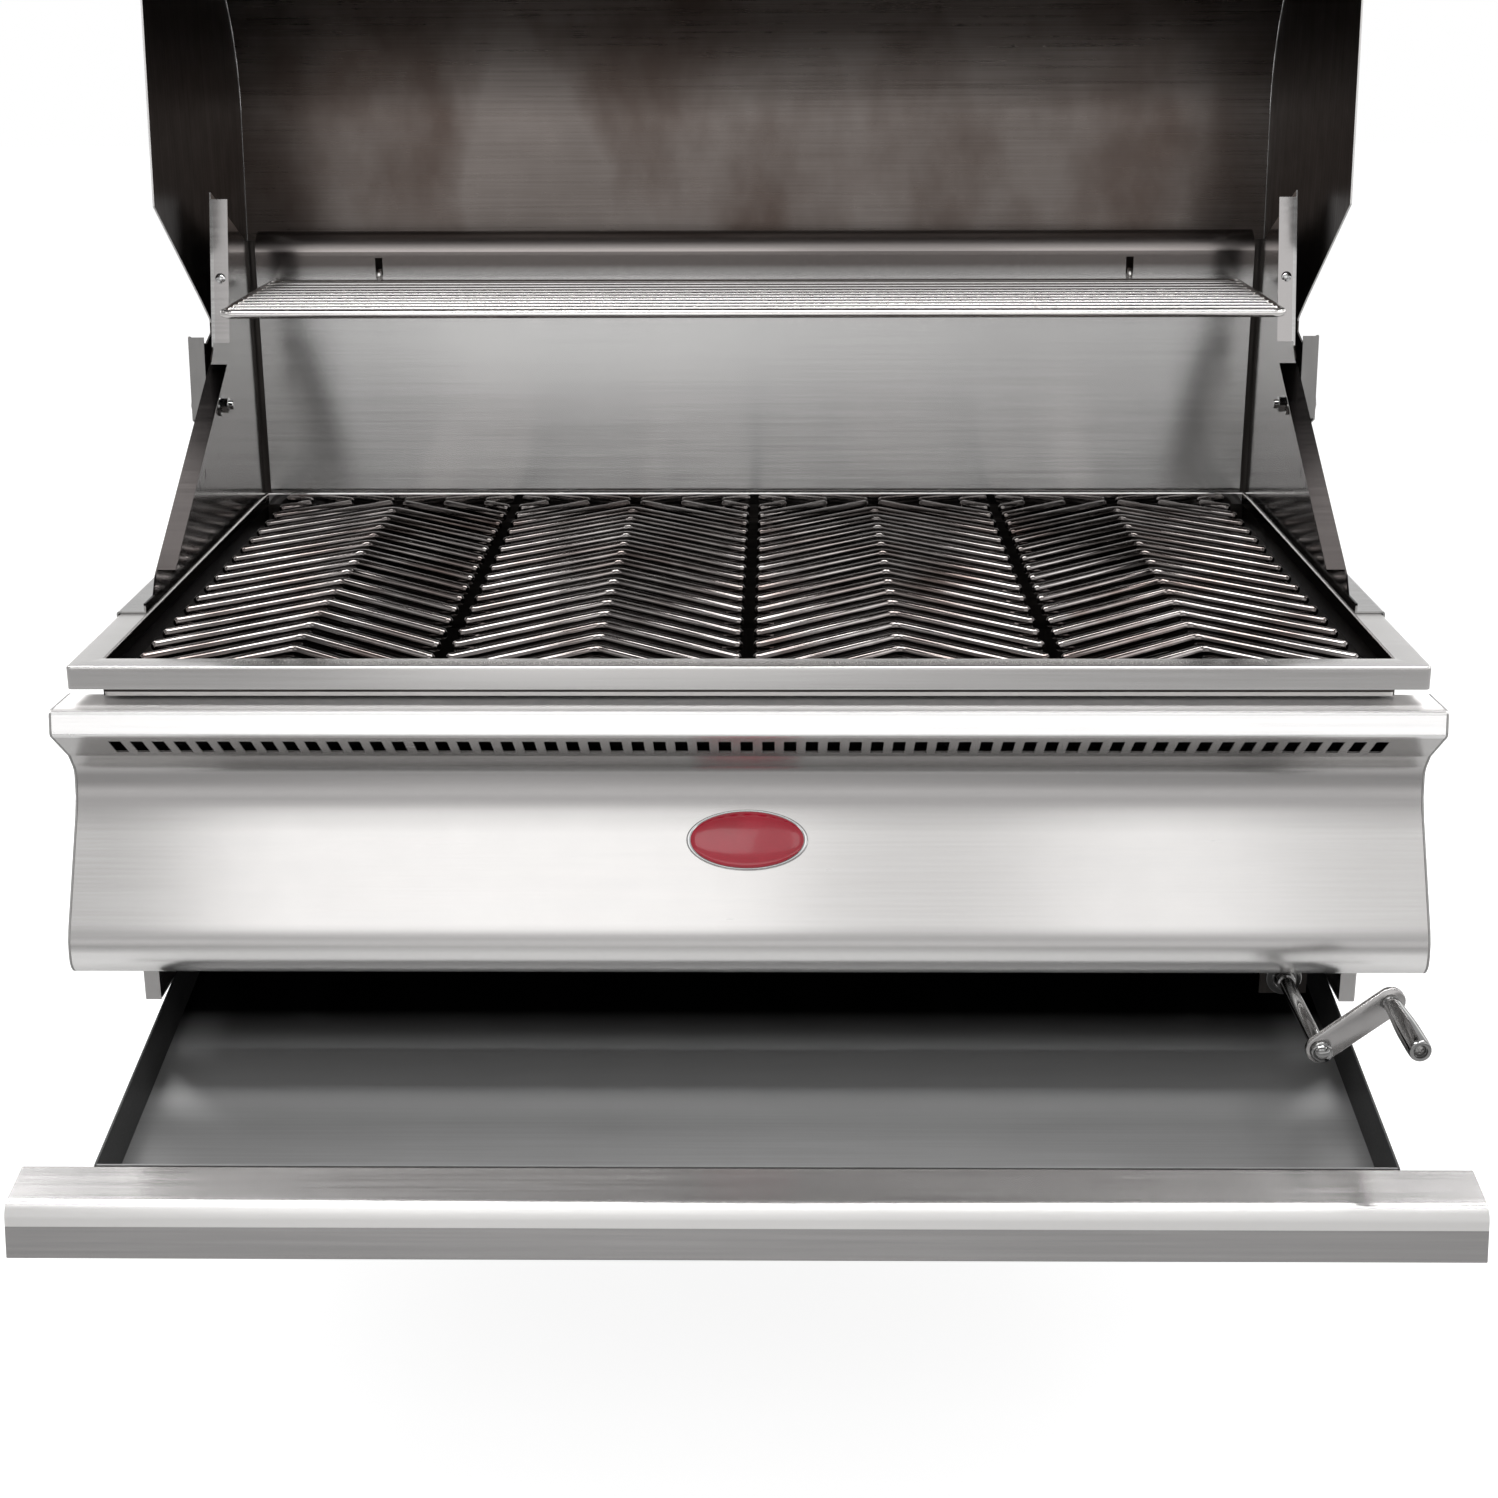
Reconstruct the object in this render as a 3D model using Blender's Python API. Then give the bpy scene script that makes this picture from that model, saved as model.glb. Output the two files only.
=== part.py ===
"""Built-in charcoal grill, metres, +Z up, its front towards -Y.

The origin is the middle of the counter cut-out, in the plane of the counter top: the rim's outer lip
stands on the counter at z = 0. The grill is shown with its hood open and its ash drawer pulled out.
"""

import math

import bmesh
import bpy
from mathutils import Matrix, Vector

MM = 0.001

# Sheet and fits
SHEET = 1.5 * MM
SEAT_GAP = 0.3 * MM
PIN_CLEARANCE = 0.4 * MM
OVERRUN = 5 * MM
EMBED = 0.1 * MM
BEND_RADIUS = 4 * MM

# Rim and firebox
RIM_WIDTH = 1002 * MM
RIM_DEPTH = 632 * MM
RIM_BAND = 23 * MM
RIM_HEIGHT = 17.5 * MM
RIM_INNER_LIP = 12 * MM
RIM_CORNER = 4 * MM
RIM_EDGE = 3 * MM
RIM_LEAST_CORNER = 1.5 * MM
FIREBOX_HEIGHT = 279.5 * MM
STEP_DEPTH = 15 * MM
STEP_SIDE = 6.8 * MM
LEG_WIDTH = 12.5 * MM
DOOR_HEIGHT = 43.5 * MM

# Side walls and back wall, heights above the rim's top, reaches ahead of the back wall's face
BACK_HEIGHT = 250 * MM
BACK_FACE_LEAD = 1 * MM
BACK_CORNER_GAP = 5 * MM
BACK_ROLL = 24 * MM
BACK_ROLL_RADIUS = 22 * MM
BACK_ROLL_DROP = 12 * MM
BACK_FOOT = 17 * MM
SIDE_REAR_GAP = 4 * MM
SIDE_REAR_HEIGHT = 240 * MM
SIDE_FOOT_REACH = 458.6 * MM
SIDE_BASE_REACH = 436 * MM
SIDE_KNEE_REACH = 420 * MM
SIDE_KNEE_HEIGHT = 22 * MM
SIDE_SHOULDER_REACH = 180 * MM
SIDE_SHOULDER_HEIGHT = 158 * MM
SIDE_NOTCH_REACH = 172 * MM
SIDE_NOTCH_HEIGHT = 166 * MM
SIDE_PEAK_REACH = 138.5 * MM
SIDE_PEAK_HEIGHT = 300 * MM
SIDE_FOOT_OVERHANG = 0.8 * MM
SIDE_FOOT_LIP = 5 * MM
SIDE_FOOT_RISE = 8 * MM
SIDE_FLANGE = 14.5 * MM
SIDE_FLANGE_MARGIN = 6 * MM
VENT_SLIT_WIDTH = 2 * MM
VENT_SLIT_HEIGHT = 9 * MM
VENT_SLIT_REACH = 234.5 * MM
VENT_SLIT_STEP = 22.7 * MM
VENT_SLIT_LEVEL = 62 * MM
VENT_SLIT_FALL = 6.8 * MM
HANG_SLOT_INSET = 121 * MM
HANG_SLOT_WIDTH = 7 * MM
HANG_SLOT_BOTTOM = 211 * MM
HANG_SLOT_HEIGHT = 16 * MM
FLANGE_SCREW_HEIGHT = 227 * MM
FLANGE_SCREW_HEAD = 4.4 * MM
FLANGE_SCREW_DOME = 2.2 * MM
FLANGE_SCREW_SHANK = 2 * MM
FLANGE_SCREW_LENGTH = 9 * MM

# Front panel: drops below the counter top, reaches ahead of the firebox's front wall
PANEL_OVERHANG = 10 * MM
PANEL_BACK_FLANGE = 54 * MM
PANEL_TOP_DROP = 11.5 * MM
PANEL_TOP_FALL = 2 * MM
PANEL_NOSE_REACH = 54.7 * MM
PANEL_NOSE_DROP = 29.5 * MM
PANEL_NOSE_LEAN = 3.5 * MM
PANEL_NOSE_RADIUS = 5 * MM
PANEL_LEDGE_REACH = 16.7 * MM
PANEL_LEDGE_DROP = 57.5 * MM
PANEL_NECK_REACH = 6.1 * MM
PANEL_NECK_DROP = 71.5 * MM
PANEL_NECK_RADIUS = 14 * MM
PANEL_SWEEP_DROP = 93 * MM
PANEL_SWEEP_RADIUS = 60 * MM
PANEL_FACE_REACH = 61.7 * MM
PANEL_FACE_DROP = 190 * MM
PANEL_BULGE_RADIUS = 35 * MM
PANEL_BOTTOM_DROP = 219.5 * MM
PANEL_BOTTOM_RADIUS = 16 * MM
PANEL_HEM_REACH = 36.7 * MM
PANEL_HEM_RISE = 8 * MM
PANEL_VENT_PITCH = 16.1 * MM
PANEL_VENT_WIDTH = 9.3 * MM
PANEL_VENT_LENGTH = 26 * MM
PANEL_VENT_MARGIN = 41 * MM
PANEL_VENT_SHARE = 0.55
STAY_WIDTH = 40 * MM
STAY_INSET = 201 * MM
STAY_FOOT = 26 * MM
STAY_DEPTH_SPARE = 3 * MM

# Badge
BADGE_WIDTH = 92 * MM
BADGE_HEIGHT = 46 * MM
BADGE_RIM = 2.6 * MM
BADGE_DOME = 5.4 * MM
BADGE_DROP = 122.5 * MM
BADGE_GAP = 0.7 * MM

# Cooking grates
GRATE_COUNT = 4
GRATE_SPACE = 11 * MM
GRATE_SIDE_CLEARANCE = 17.5 * MM
GRATE_END_CLEARANCE = 6 * MM
GRATE_TOP_DROP = 6 * MM
GRATE_ROD = 9.5 * MM
GRATE_ROD_PITCH = 35 * MM
GRATE_ROD_SLANT = math.radians(41.3)
GRATE_FIRST_APEX = 19.6 * MM
GRATE_BEND_RADIUS = 10 * MM
GRATE_BAR_WIDTH = 4 * MM
GRATE_BAR_HEIGHT = 12.2 * MM
GRATE_SIDE_INSET = 12 * MM
GRATE_END_INSET = 1.2 * MM
GRATE_BITE = 1.2 * MM

# Warming rack
RACK_DEPTH = 217.5 * MM
RACK_HEIGHT = 203.5 * MM
RACK_SIDE_CLEARANCE = 2.5 * MM
RACK_FRAME_ROD = 7.4 * MM
RACK_WIRE = 3.5 * MM
RACK_CORNER = 10 * MM
RACK_WIRES = 10
RACK_CROSS_WIRES = 7
RACK_CROSS_MARGIN = 80.8 * MM
RACK_LAYER_GAP = 0.3 * MM
RACK_HOOK_ROD = 5 * MM
RACK_HOOK_TAIL = 9 * MM

# Hood, closed, measured from its hinge line
HINGE_REACH = 162 * MM
HINGE_HEIGHT = 115 * MM
HOOD_OPEN_ANGLE = math.radians(95)
HOOD_FRONT = 441 * MM
HOOD_BOTTOM = 110 * MM
HOOD_TOP = 235 * MM
HOOD_LEAN = 41 * MM
HOOD_CROWN_RADIUS = 160 * MM
HOOD_REAR = 90 * MM
HOOD_REAR_LIP = 20 * MM
HOOD_HEM = 14 * MM
HOOD_SIDE_RISE_START = 174.5 * MM
HOOD_SHOULDER_REACH = 91.6 * MM
HOOD_SHOULDER_HEIGHT = 34 * MM
HOOD_NOTCH_FRONT = 72 * MM
HOOD_NOTCH_REAR = 60.5 * MM
HOOD_NOTCH_TOP = 66 * MM
HOOD_NOTCH_RADIUS = 4 * MM
HOOD_NECK_REACH = 51.5 * MM
HOOD_NECK_HEIGHT = 44 * MM
HOOD_TAB_FRONT = 62 * MM
HOOD_TAB_REAR = 12.5 * MM
HOOD_TAB_DROP = 17.5 * MM
HOOD_TAB_FLANGE = 14 * MM
HOOD_TAB_MARGIN = 1 * MM
HINGE_BOLT_RADIUS = 4 * MM
HINGE_SHOULDER_RADIUS = 7 * MM
HINGE_HEAD_RADIUS = 8 * MM
HINGE_HEAD_HEIGHT = 3 * MM
HINGE_WASHER_RADIUS = 10 * MM
HINGE_WASHER = 1.6 * MM
HINGE_NUT_RADIUS = 7.5 * MM
HINGE_NUT_HEIGHT = 6.5 * MM
HINGE_TIP = 4 * MM
HANDLE_RADIUS = 12.5 * MM
HANDLE_SETBACK = 61 * MM
HANDLE_STANDOFF = 48 * MM
HANDLE_FACE_HEIGHT = 88 * MM
HANDLE_POST_RADIUS = 9 * MM
HANDLE_POST_FLARE = 13 * MM
HANDLE_POST_FOOT = 5 * MM
HANDLE_POST_INSET = 55 * MM
HANDLE_CAP = 4 * MM
HANDLE_WALL = 1.5 * MM
HANDLE_VENT_RADIUS = 3 * MM
GAUGE_FACE_HEIGHT = 158 * MM
GAUGE_RADIUS = 34 * MM
GAUGE_BEZEL = 4 * MM
GAUGE_DEPTH = 11 * MM
GAUGE_RECESS = 6 * MM
GAUGE_HUB_RADIUS = 3 * MM
GAUGE_HUB_HEIGHT = 2 * MM
NEEDLE_LENGTH = 22 * MM
NEEDLE_TAIL = 8 * MM
NEEDLE_WIDTH = 2.4 * MM
NEEDLE_THICKNESS = 1.2 * MM
NEEDLE_REST = math.radians(135)

# Charcoal tray and its lift
TRAY_LIFT = 75 * MM
TRAY_FLOOR_DROP = 150 * MM
TRAY_DEPTH = 35 * MM
TRAY_SIDE_CLEARANCE = 28 * MM
TRAY_END_CLEARANCE = 10 * MM
TRAY_SLOTS = 9
TRAY_SLOT_ROWS = 2
TRAY_SLOT_WIDTH = 10 * MM
TRAY_SLOT_MARGIN = 50 * MM
PIN_RADIUS = 4 * MM
PIN_SPREAD = 130 * MM
PIN_ABOVE_FLOOR = 10 * MM
PIN_END_CLEARANCE = 3 * MM
RAMP_OFFSET = 11 * MM
RAMP_SHEET = 3 * MM
RAMP_MARGIN = 22 * MM
GUIDE_OFFSET = 5.8 * MM
GUIDE_WIDTH = 36 * MM
GUIDE_END = 18 * MM
BAR_REACH = 100 * MM
BAR_THICKNESS = 14 * MM
BAR_HEIGHT = 18 * MM
NUT_SIZE = 24 * MM
NUT_LENGTH = 20 * MM

# Crank
CRANK_INSET = 91 * MM
CRANK_DROP = 230.5 * MM
CRANK_RADIUS = 60 * MM
CRANK_ANGLE = math.radians(38.2)
CRANK_PLANE_REACH = 156.7 * MM
CRANK_ARM_THICKNESS = 5 * MM
CRANK_ARM_END_RADIUS = 10.5 * MM
CRANK_SHAFT_RADIUS = 5.5 * MM
CRANK_STUB_RADIUS = 4 * MM
CRANK_STUB_LENGTH = 5 * MM
CRANK_NUT_RADIUS = 8 * MM
CRANK_NUT_HEIGHT = 9 * MM
SCREW_RADIUS = 6 * MM
SCREW_SETBACK = 61 * MM
SCREW_JOURNAL_RADIUS = 4.5 * MM
SCREW_JOURNAL_LENGTH = 13 * MM
BEARING_REACH = 30.7 * MM
BEARING_FLANGE_RADIUS = 13.5 * MM
BEARING_FLANGE = 3 * MM
BEARING_NECK_RADIUS = 9 * MM
BEARING_NECK = 6 * MM
BRACKET_SHEET = 2 * MM
BRACKET_WIDTH = 36 * MM
BRACKET_DROP = 13.5 * MM
BRACKET_RISE = 29 * MM
BRACKET_FOOT = 20 * MM
REAR_BOSS_RADIUS = 13 * MM
REAR_BOSS_LENGTH = 17.5 * MM
REAR_BOSS_FLOOR = 2 * MM
GRIP_LENGTH = 79 * MM
GRIP_NECK_RADIUS = 6.2 * MM
GRIP_RADIUS = 8.1 * MM
GRIP_END_RADIUS = 7.6 * MM
GRIP_BORE = 3.4 * MM
GRIP_RECESS_RADIUS = 5 * MM
GRIP_RECESS = 3 * MM
SPINDLE_RADIUS = 3 * MM
SPINDLE_HEAD_RADIUS = 4.5 * MM
SPINDLE_HEAD = 2.4 * MM
GRIP_PLAY = 0.6 * MM

# Ash drawer and its rails
RAIL_HEIGHT = 24 * MM
RAIL_UPPER_REACH = 18.5 * MM
RAIL_LOWER_REACH = 11 * MM
RAIL_FRONT_CLEARANCE = 2 * MM
RAIL_REAR_CLEARANCE = 10 * MM
DRAWER_TRAVEL = 202.5 * MM
DRAWER_DROOP = math.radians(8.9)
DRAWER_SIDE_CLEARANCE = 12.5 * MM
DRAWER_TOP_CLEARANCE = 2 * MM
DRAWER_TRAY_DEPTH = 352.7 * MM
DRAWER_TRAY_HEIGHT = 40 * MM
DRAWER_EAR = 25 * MM
DRAWER_TAIL = 7 * MM
DRAWER_FRONT_CLEARANCE = 7.2 * MM
DRAWER_FRONT_DEPTH = 46 * MM
DRAWER_FRONT_LEAN = 12 * MM
DRAWER_FRONT_HEIGHT = 37 * MM
DRAWER_FRONT_RADIUS = 12 * MM
DRAWER_FRONT_HEM = 12 * MM
DRAWER_BACK_FLANGE = 28 * MM
AXLE_RADIUS = 3 * MM
GLIDE_WIDTH = 9 * MM
GLIDE_RADIUS = 10.2 * MM
GLIDE_SIDE_CLEARANCE = 0.3 * MM

# Facets
ARC_STEP = math.radians(24)
FINE_STEP = math.radians(12)
ROUND_SIDES = 14
SMALL_SIDES = 10
ROD_SIDES = 6
WIRE_SIDES = 4
SMOOTH_ANGLE = math.radians(35)
OVAL_SIDES = 24

# Shares that shape the turned pieces and the badge
DOME_SHARES = (0.72, 0.8)
GRIP_SHARES = (0.12, 0.34, 0.58, 0.88)
GRIP_WAIST_SHARE = 0.87
BADGE_SHARES = ((0.82, 0.5), (0.5, 0.85), (0, 1))

# Places worked out from the sizes above
RIM_X = RIM_WIDTH / 2
RIM_Y = RIM_DEPTH / 2
WINDOW_X = RIM_X - RIM_BAND
WINDOW_Y = RIM_Y - RIM_BAND
BOX_X = WINDOW_X + SHEET + SEAT_GAP
BOX_Y = WINDOW_Y + SHEET + SEAT_GAP
BOX_TOP = RIM_HEIGHT - RIM_EDGE - SEAT_GAP
BOX_BOTTOM = BOX_TOP - FIREBOX_HEIGHT
INNER_X = BOX_X - STEP_SIDE
INNER_Y = BOX_Y - STEP_DEPTH
FRONT_FACE_Y = -INNER_Y - SHEET
BACK_FACE_Y = WINDOW_Y - BACK_FACE_LEAD
SIDE_X = WINDOW_X + SHEET
HANG_SLOT_X = WINDOW_X - HANG_SLOT_INSET
STAY_X = RIM_X - STAY_INSET
HINGE_Y = BACK_FACE_Y - HINGE_REACH
HINGE_Z = RIM_HEIGHT + HINGE_HEIGHT
HOOD_X = RIM_X
HANDLE_LENGTH = 2 * (HOOD_X - HANDLE_SETBACK)
HANDLE_POST_X = HANDLE_LENGTH / 2 - HANDLE_POST_INSET
ROD_RADIUS = GRATE_ROD / 2
ROD_Z = RIM_HEIGHT - GRATE_TOP_DROP - ROD_RADIUS
GRATE_X = WINDOW_X - GRATE_SIDE_CLEARANCE
GRATE_WIDTH = (2 * GRATE_X - (GRATE_COUNT - 1) * GRATE_SPACE) / GRATE_COUNT
GRATE_Y = WINDOW_Y - GRATE_END_CLEARANCE
GRATE_BOTTOM = ROD_Z - ROD_RADIUS + GRATE_BITE - GRATE_BAR_HEIGHT
STEP_TOP = GRATE_BOTTOM - SEAT_GAP
TRAY_X = INNER_X - TRAY_SIDE_CLEARANCE
TRAY_Y = INNER_Y - TRAY_END_CLEARANCE
TRAY_FLOOR = -TRAY_FLOOR_DROP
PIN_Z = TRAY_FLOOR + PIN_ABOVE_FLOOR
RAMP_X = TRAY_X + RAMP_OFFSET
GUIDE_X = RAMP_X + RAMP_SHEET + GUIDE_OFFSET
RAIL_TOP = BOX_BOTTOM + RAIL_HEIGHT
CHANNEL_TOP = RAIL_TOP - SHEET
CHANNEL_FLOOR = BOX_BOTTOM + SHEET
AXLE_Z = (CHANNEL_TOP + CHANNEL_FLOOR) / 2
DRAWER_TOP = CHANNEL_TOP - DRAWER_TOP_CLEARANCE
DRAWER_X = INNER_X - DRAWER_SIDE_CLEARANCE
DRAWER_CLOSED_FRONT = FRONT_FACE_Y - DRAWER_FRONT_CLEARANCE
AXLE_CLOSED_Y = DRAWER_CLOSED_FRONT + DRAWER_TRAY_DEPTH
AXLE_Y = AXLE_CLOSED_Y - DRAWER_TRAVEL
CRANK_X = RIM_X - CRANK_INSET
CRANK_Z = -CRANK_DROP
ARM_Y = FRONT_FACE_Y - CRANK_PLANE_REACH


def clear_scene():
    for obj in list(bpy.data.objects):
        bpy.data.objects.remove(obj)


def material(name, colour, metallic, roughness):
    made = bpy.data.materials.new(name)
    made.use_nodes = True
    shader = made.node_tree.nodes["Principled BSDF"]
    shader.inputs["Base Color"].default_value = (*colour, 1)
    shader.inputs["Metallic"].default_value = metallic
    shader.inputs["Roughness"].default_value = roughness
    return made


def finish_mesh(name, bm):
    """Closes a bmesh into a mesh whose faces point out, with its round parts shaded smooth."""
    bmesh.ops.recalc_face_normals(bm, faces=bm.faces)
    mesh = bpy.data.meshes.new(name)
    bm.to_mesh(mesh)
    bm.free()
    mesh.shade_smooth()
    mesh.set_sharp_from_angle(angle=SMOOTH_ANGLE)
    return mesh


def piece(name, bm, look, parent=None, location=(0, 0, 0)):
    """Adds one named solid, its place given from its parent."""
    obj = bpy.data.objects.new(name, finish_mesh(name, bm))
    obj.data.materials.append(look)
    obj.location = location
    obj.parent = parent
    bpy.context.scene.collection.objects.link(obj)
    return obj


def pivot(name, location, turn=0.0, axis="X", parent=None):
    """Adds an empty on a joint's axis, turned about that axis."""
    empty = bpy.data.objects.new(name, None)
    empty.location = location
    setattr(empty.rotation_euler, axis.lower(), turn)
    empty.parent = parent
    bpy.context.scene.collection.objects.link(empty)
    return empty


def combine(target, name, bm, operation):
    """Cuts a shape from a solid or joins it on; the shape keeps the solid's parent and place."""
    tool = piece(name, bm, target.data.materials[0], target.parent, target.location)
    tool.hide_render = True
    tool.display_type = "WIRE"
    modifier = target.modifiers.new(name, "BOOLEAN")
    modifier.object = tool
    modifier.operation = operation
    modifier.solver = "EXACT"


def cut(target, name, bm):
    combine(target, name, bm, "DIFFERENCE")


def join(target, name, bm):
    combine(target, name, bm, "UNION")


def rounded(points, radii, step=ARC_STEP):
    """The outline or path with an arc at each corner whose radius isn't zero."""
    result = []
    count = len(points)
    for index, point in enumerate(points):
        corner = Vector(point)
        radius = radii[index]
        if not radius:
            result.append(corner)
            continue
        back = (Vector(points[index - 1]) - corner).normalized()
        ahead = (Vector(points[(index + 1) % count]) - corner).normalized()
        half = back.angle(ahead) / 2
        centre = corner + (back + ahead).normalized() * radius / math.sin(half)
        start = corner + back * radius / math.tan(half) - centre
        sweep = start.angle_signed(corner + ahead * radius / math.tan(half) - centre)
        steps = max(1, round(abs(sweep) / step))
        for number in range(steps + 1):
            result.append(centre + start @ Matrix.Rotation(sweep * number / steps, 2))
    return result


def offset(path, distance):
    """The path moved to its left by a distance, with mitred corners."""
    moved = []
    last = len(path) - 1
    for index, point in enumerate(path):
        ahead = path[min(index + 1, last)] - path[min(index, last - 1)]
        back = path[max(index, 1)] - path[max(index - 1, 0)]
        left_ahead = Vector((-ahead.y, ahead.x)).normalized()
        left_back = Vector((-back.y, back.x)).normalized()
        mitre = (left_ahead + left_back) / (1 + left_ahead.dot(left_back))
        moved.append(point + mitre * distance)
    return moved


def sheet(points, radii, thickness=SHEET, step=ARC_STEP):
    """Outline of bent sheet: the path is one face, and the sheet lies to its left."""
    path = rounded(points, radii, step)
    return path + offset(path, thickness)[::-1]


def place(axis, u, v, along):
    """A point of a section: axis X takes (y, z), axis Y takes (x, z) and axis Z takes (x, y)."""
    if axis == "X":
        return (along, u, v)
    if axis == "Y":
        return (u, along, v)
    return (u, v, along)


def prism(outline, axis, start, end, bm=None):
    """An outline drawn out along an axis."""
    bm = bm or bmesh.new()
    near = [bm.verts.new(place(axis, point[0], point[1], start)) for point in outline]
    far = [bm.verts.new(place(axis, point[0], point[1], end)) for point in outline]
    count = len(outline)
    for index in range(count):
        following = (index + 1) % count
        bm.faces.new((near[index], near[following], far[following], far[index]))
    bm.faces.new(near)
    bm.faces.new(far[::-1])
    return bm


def block(low, high, bm=None):
    outline = [(low[0], low[1]), (high[0], low[1]), (high[0], high[1]), (low[0], high[1])]
    return prism(outline, "Z", low[2], high[2], bm)


def turned(profile, axis, centre, sides=ROUND_SIDES, closed=False, bm=None):
    """A turned solid: the profile is (radius, distance along the axis), closed where it has a bore."""
    bm = bm or bmesh.new()
    rings = []
    for radius, along in profile:
        if not radius:
            rings.append([bm.verts.new(place(axis, centre[0], centre[1], along))])
            continue
        ring = []
        for number in range(sides):
            angle = math.tau * number / sides
            u = centre[0] + radius * math.cos(angle)
            v = centre[1] + radius * math.sin(angle)
            ring.append(bm.verts.new(place(axis, u, v, along)))
        rings.append(ring)
    pairs = list(zip(rings, rings[1:]))
    if closed:
        pairs.append((rings[-1], rings[0]))
    for low, high in pairs:
        for number in range(sides):
            following = (number + 1) % sides
            corners = [low[number % len(low)], low[following % len(low)]]
            corners += [high[following % len(high)], high[number % len(high)]]
            bm.faces.new(list(dict.fromkeys(corners)))
    return bm


def cylinder(radius, axis, centre, start, end, sides=ROUND_SIDES, bm=None):
    return turned([(0, start), (radius, start), (radius, end), (0, end)], axis, centre, sides, bm=bm)


def tube(outer, inner, axis, centre, start, end, sides=ROUND_SIDES):
    profile = [(outer, start), (outer, end), (inner, end), (inner, start)]
    return turned(profile, axis, centre, sides, closed=True)


def rod(path, up, radius, sides=ROD_SIDES, closed=False, bm=None):
    """A round bar bent along a path that lies in the plane square to up."""
    bm = bm or bmesh.new()
    points = [Vector(point) for point in path]
    count = len(points)
    rings = []
    for index, point in enumerate(points):
        following = points[(index + 1) % count] if closed or index < count - 1 else None
        previous = points[index - 1] if closed or index > 0 else None
        ahead = (following - point).normalized() if following else (point - previous).normalized()
        back = (point - previous).normalized() if previous else ahead
        side_ahead = up.cross(ahead)
        side_back = up.cross(back)
        mitre = (side_ahead + side_back) / (1 + side_ahead.dot(side_back))
        ring = []
        for number in range(sides):
            angle = math.tau * number / sides + math.pi / 2
            spot = point + radius * (mitre * math.cos(angle) + up * math.sin(angle))
            ring.append(bm.verts.new(spot))
        rings.append(ring)
    pairs = list(zip(rings, rings[1:]))
    if closed:
        pairs.append((rings[-1], rings[0]))
    else:
        bm.faces.new(rings[0][::-1])
        bm.faces.new(rings[-1])
    for low, high in pairs:
        for number in range(sides):
            following = (number + 1) % sides
            bm.faces.new((low[number], low[following], high[following], high[number]))
    return bm


def frame_ring(loops, corner, bm=None):
    """A closed frame swept through loops of (half length, half depth, height) with round corners."""
    bm = bm or bmesh.new()
    rings = []
    for x, y, height in loops:
        radius = max(corner - min(loops[0][0] - x, loops[0][1] - y), RIM_LEAST_CORNER)
        outline = rounded([(-x, -y), (x, -y), (x, y), (-x, y)], [radius] * 4, math.pi / 4)
        rings.append([bm.verts.new((point.x, point.y, height)) for point in outline])
    count = len(rings[0])
    for low, high in zip(rings, rings[1:] + rings[:1]):
        for number in range(count):
            following = (number + 1) % count
            bm.faces.new((low[number], low[following], high[following], high[number]))
    return bm


def stand(bm, x, spot, normal):
    """Turns a shape so that its Z runs along a normal in the YZ plane, and moves it to a spot."""
    turn = Matrix(((1, 0, 0), (0, normal.y, normal.x), (0, -normal.x, normal.y))).to_4x4()
    bmesh.ops.transform(bm, matrix=Matrix.Translation((x, spot.x, spot.y)) @ turn, verts=bm.verts)
    return bm


def mirrored(points, side):
    """The points of an outline whose first coordinate is x, for the left (-1) or right (1) side."""
    return [(side * point[0], point[1]) for point in points]


def span(side, near, far):
    """Both ends of a stretch of x, ordered from low to high, on the left or right side."""
    return sorted((side * near, side * far))


def side_name(side, name):
    return ("right_" if side > 0 else "left_") + name


def build_rim(look):
    path = [(0, 0), (0, RIM_HEIGHT), (RIM_BAND, RIM_HEIGHT), (RIM_BAND, RIM_HEIGHT - RIM_INNER_LIP)]
    section = sheet(path, [0, RIM_EDGE, RIM_EDGE, 0], -SHEET, math.pi / 4)
    loops = [(RIM_X - point.x, RIM_Y - point.x, point.y) for point in section]
    piece("counter_rim", frame_ring(loops, RIM_CORNER), look)


def build_firebox(look):
    """Four walls that step in below the rim, where the grates rest, with a doorway for the drawer."""
    collar = (BOX_X, BOX_Y)
    collar_out = (BOX_X + SHEET, BOX_Y + SHEET)
    wall = (INNER_X, INNER_Y)
    wall_out = (INNER_X + SHEET, INNER_Y + SHEET)
    loops = [
        (*collar_out, BOX_TOP),
        (*collar, BOX_TOP),
        (*collar, STEP_TOP),
        (*wall, STEP_TOP),
        (*wall, BOX_BOTTOM),
        (*wall_out, BOX_BOTTOM),
        (*wall_out, STEP_TOP - SHEET),
        (*collar_out, STEP_TOP - SHEET),
    ]
    shell = piece("firebox_shell", frame_ring(loops, BEND_RADIUS), look)
    door_x = wall_out[0] - LEG_WIDTH
    low = (-door_x, FRONT_FACE_Y - OVERRUN, BOX_BOTTOM - OVERRUN)
    high = (door_x, -INNER_Y + OVERRUN, BOX_BOTTOM + DOOR_HEIGHT)
    cut(shell, "drawer_doorway", block(low, high))


def side_wall_edge():
    """The side wall's front edge from its foot to its peak, as (y, z)."""
    reaches_and_heights = [
        (SIDE_BASE_REACH, SHEET),
        (SIDE_KNEE_REACH, SIDE_KNEE_HEIGHT),
        (SIDE_SHOULDER_REACH, SIDE_SHOULDER_HEIGHT),
        (SIDE_NOTCH_REACH, SIDE_NOTCH_HEIGHT),
        (SIDE_PEAK_REACH, SIDE_PEAK_HEIGHT),
    ]
    return [Vector((BACK_FACE_Y - reach, RIM_HEIGHT + height)) for reach, height in reaches_and_heights]


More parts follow.
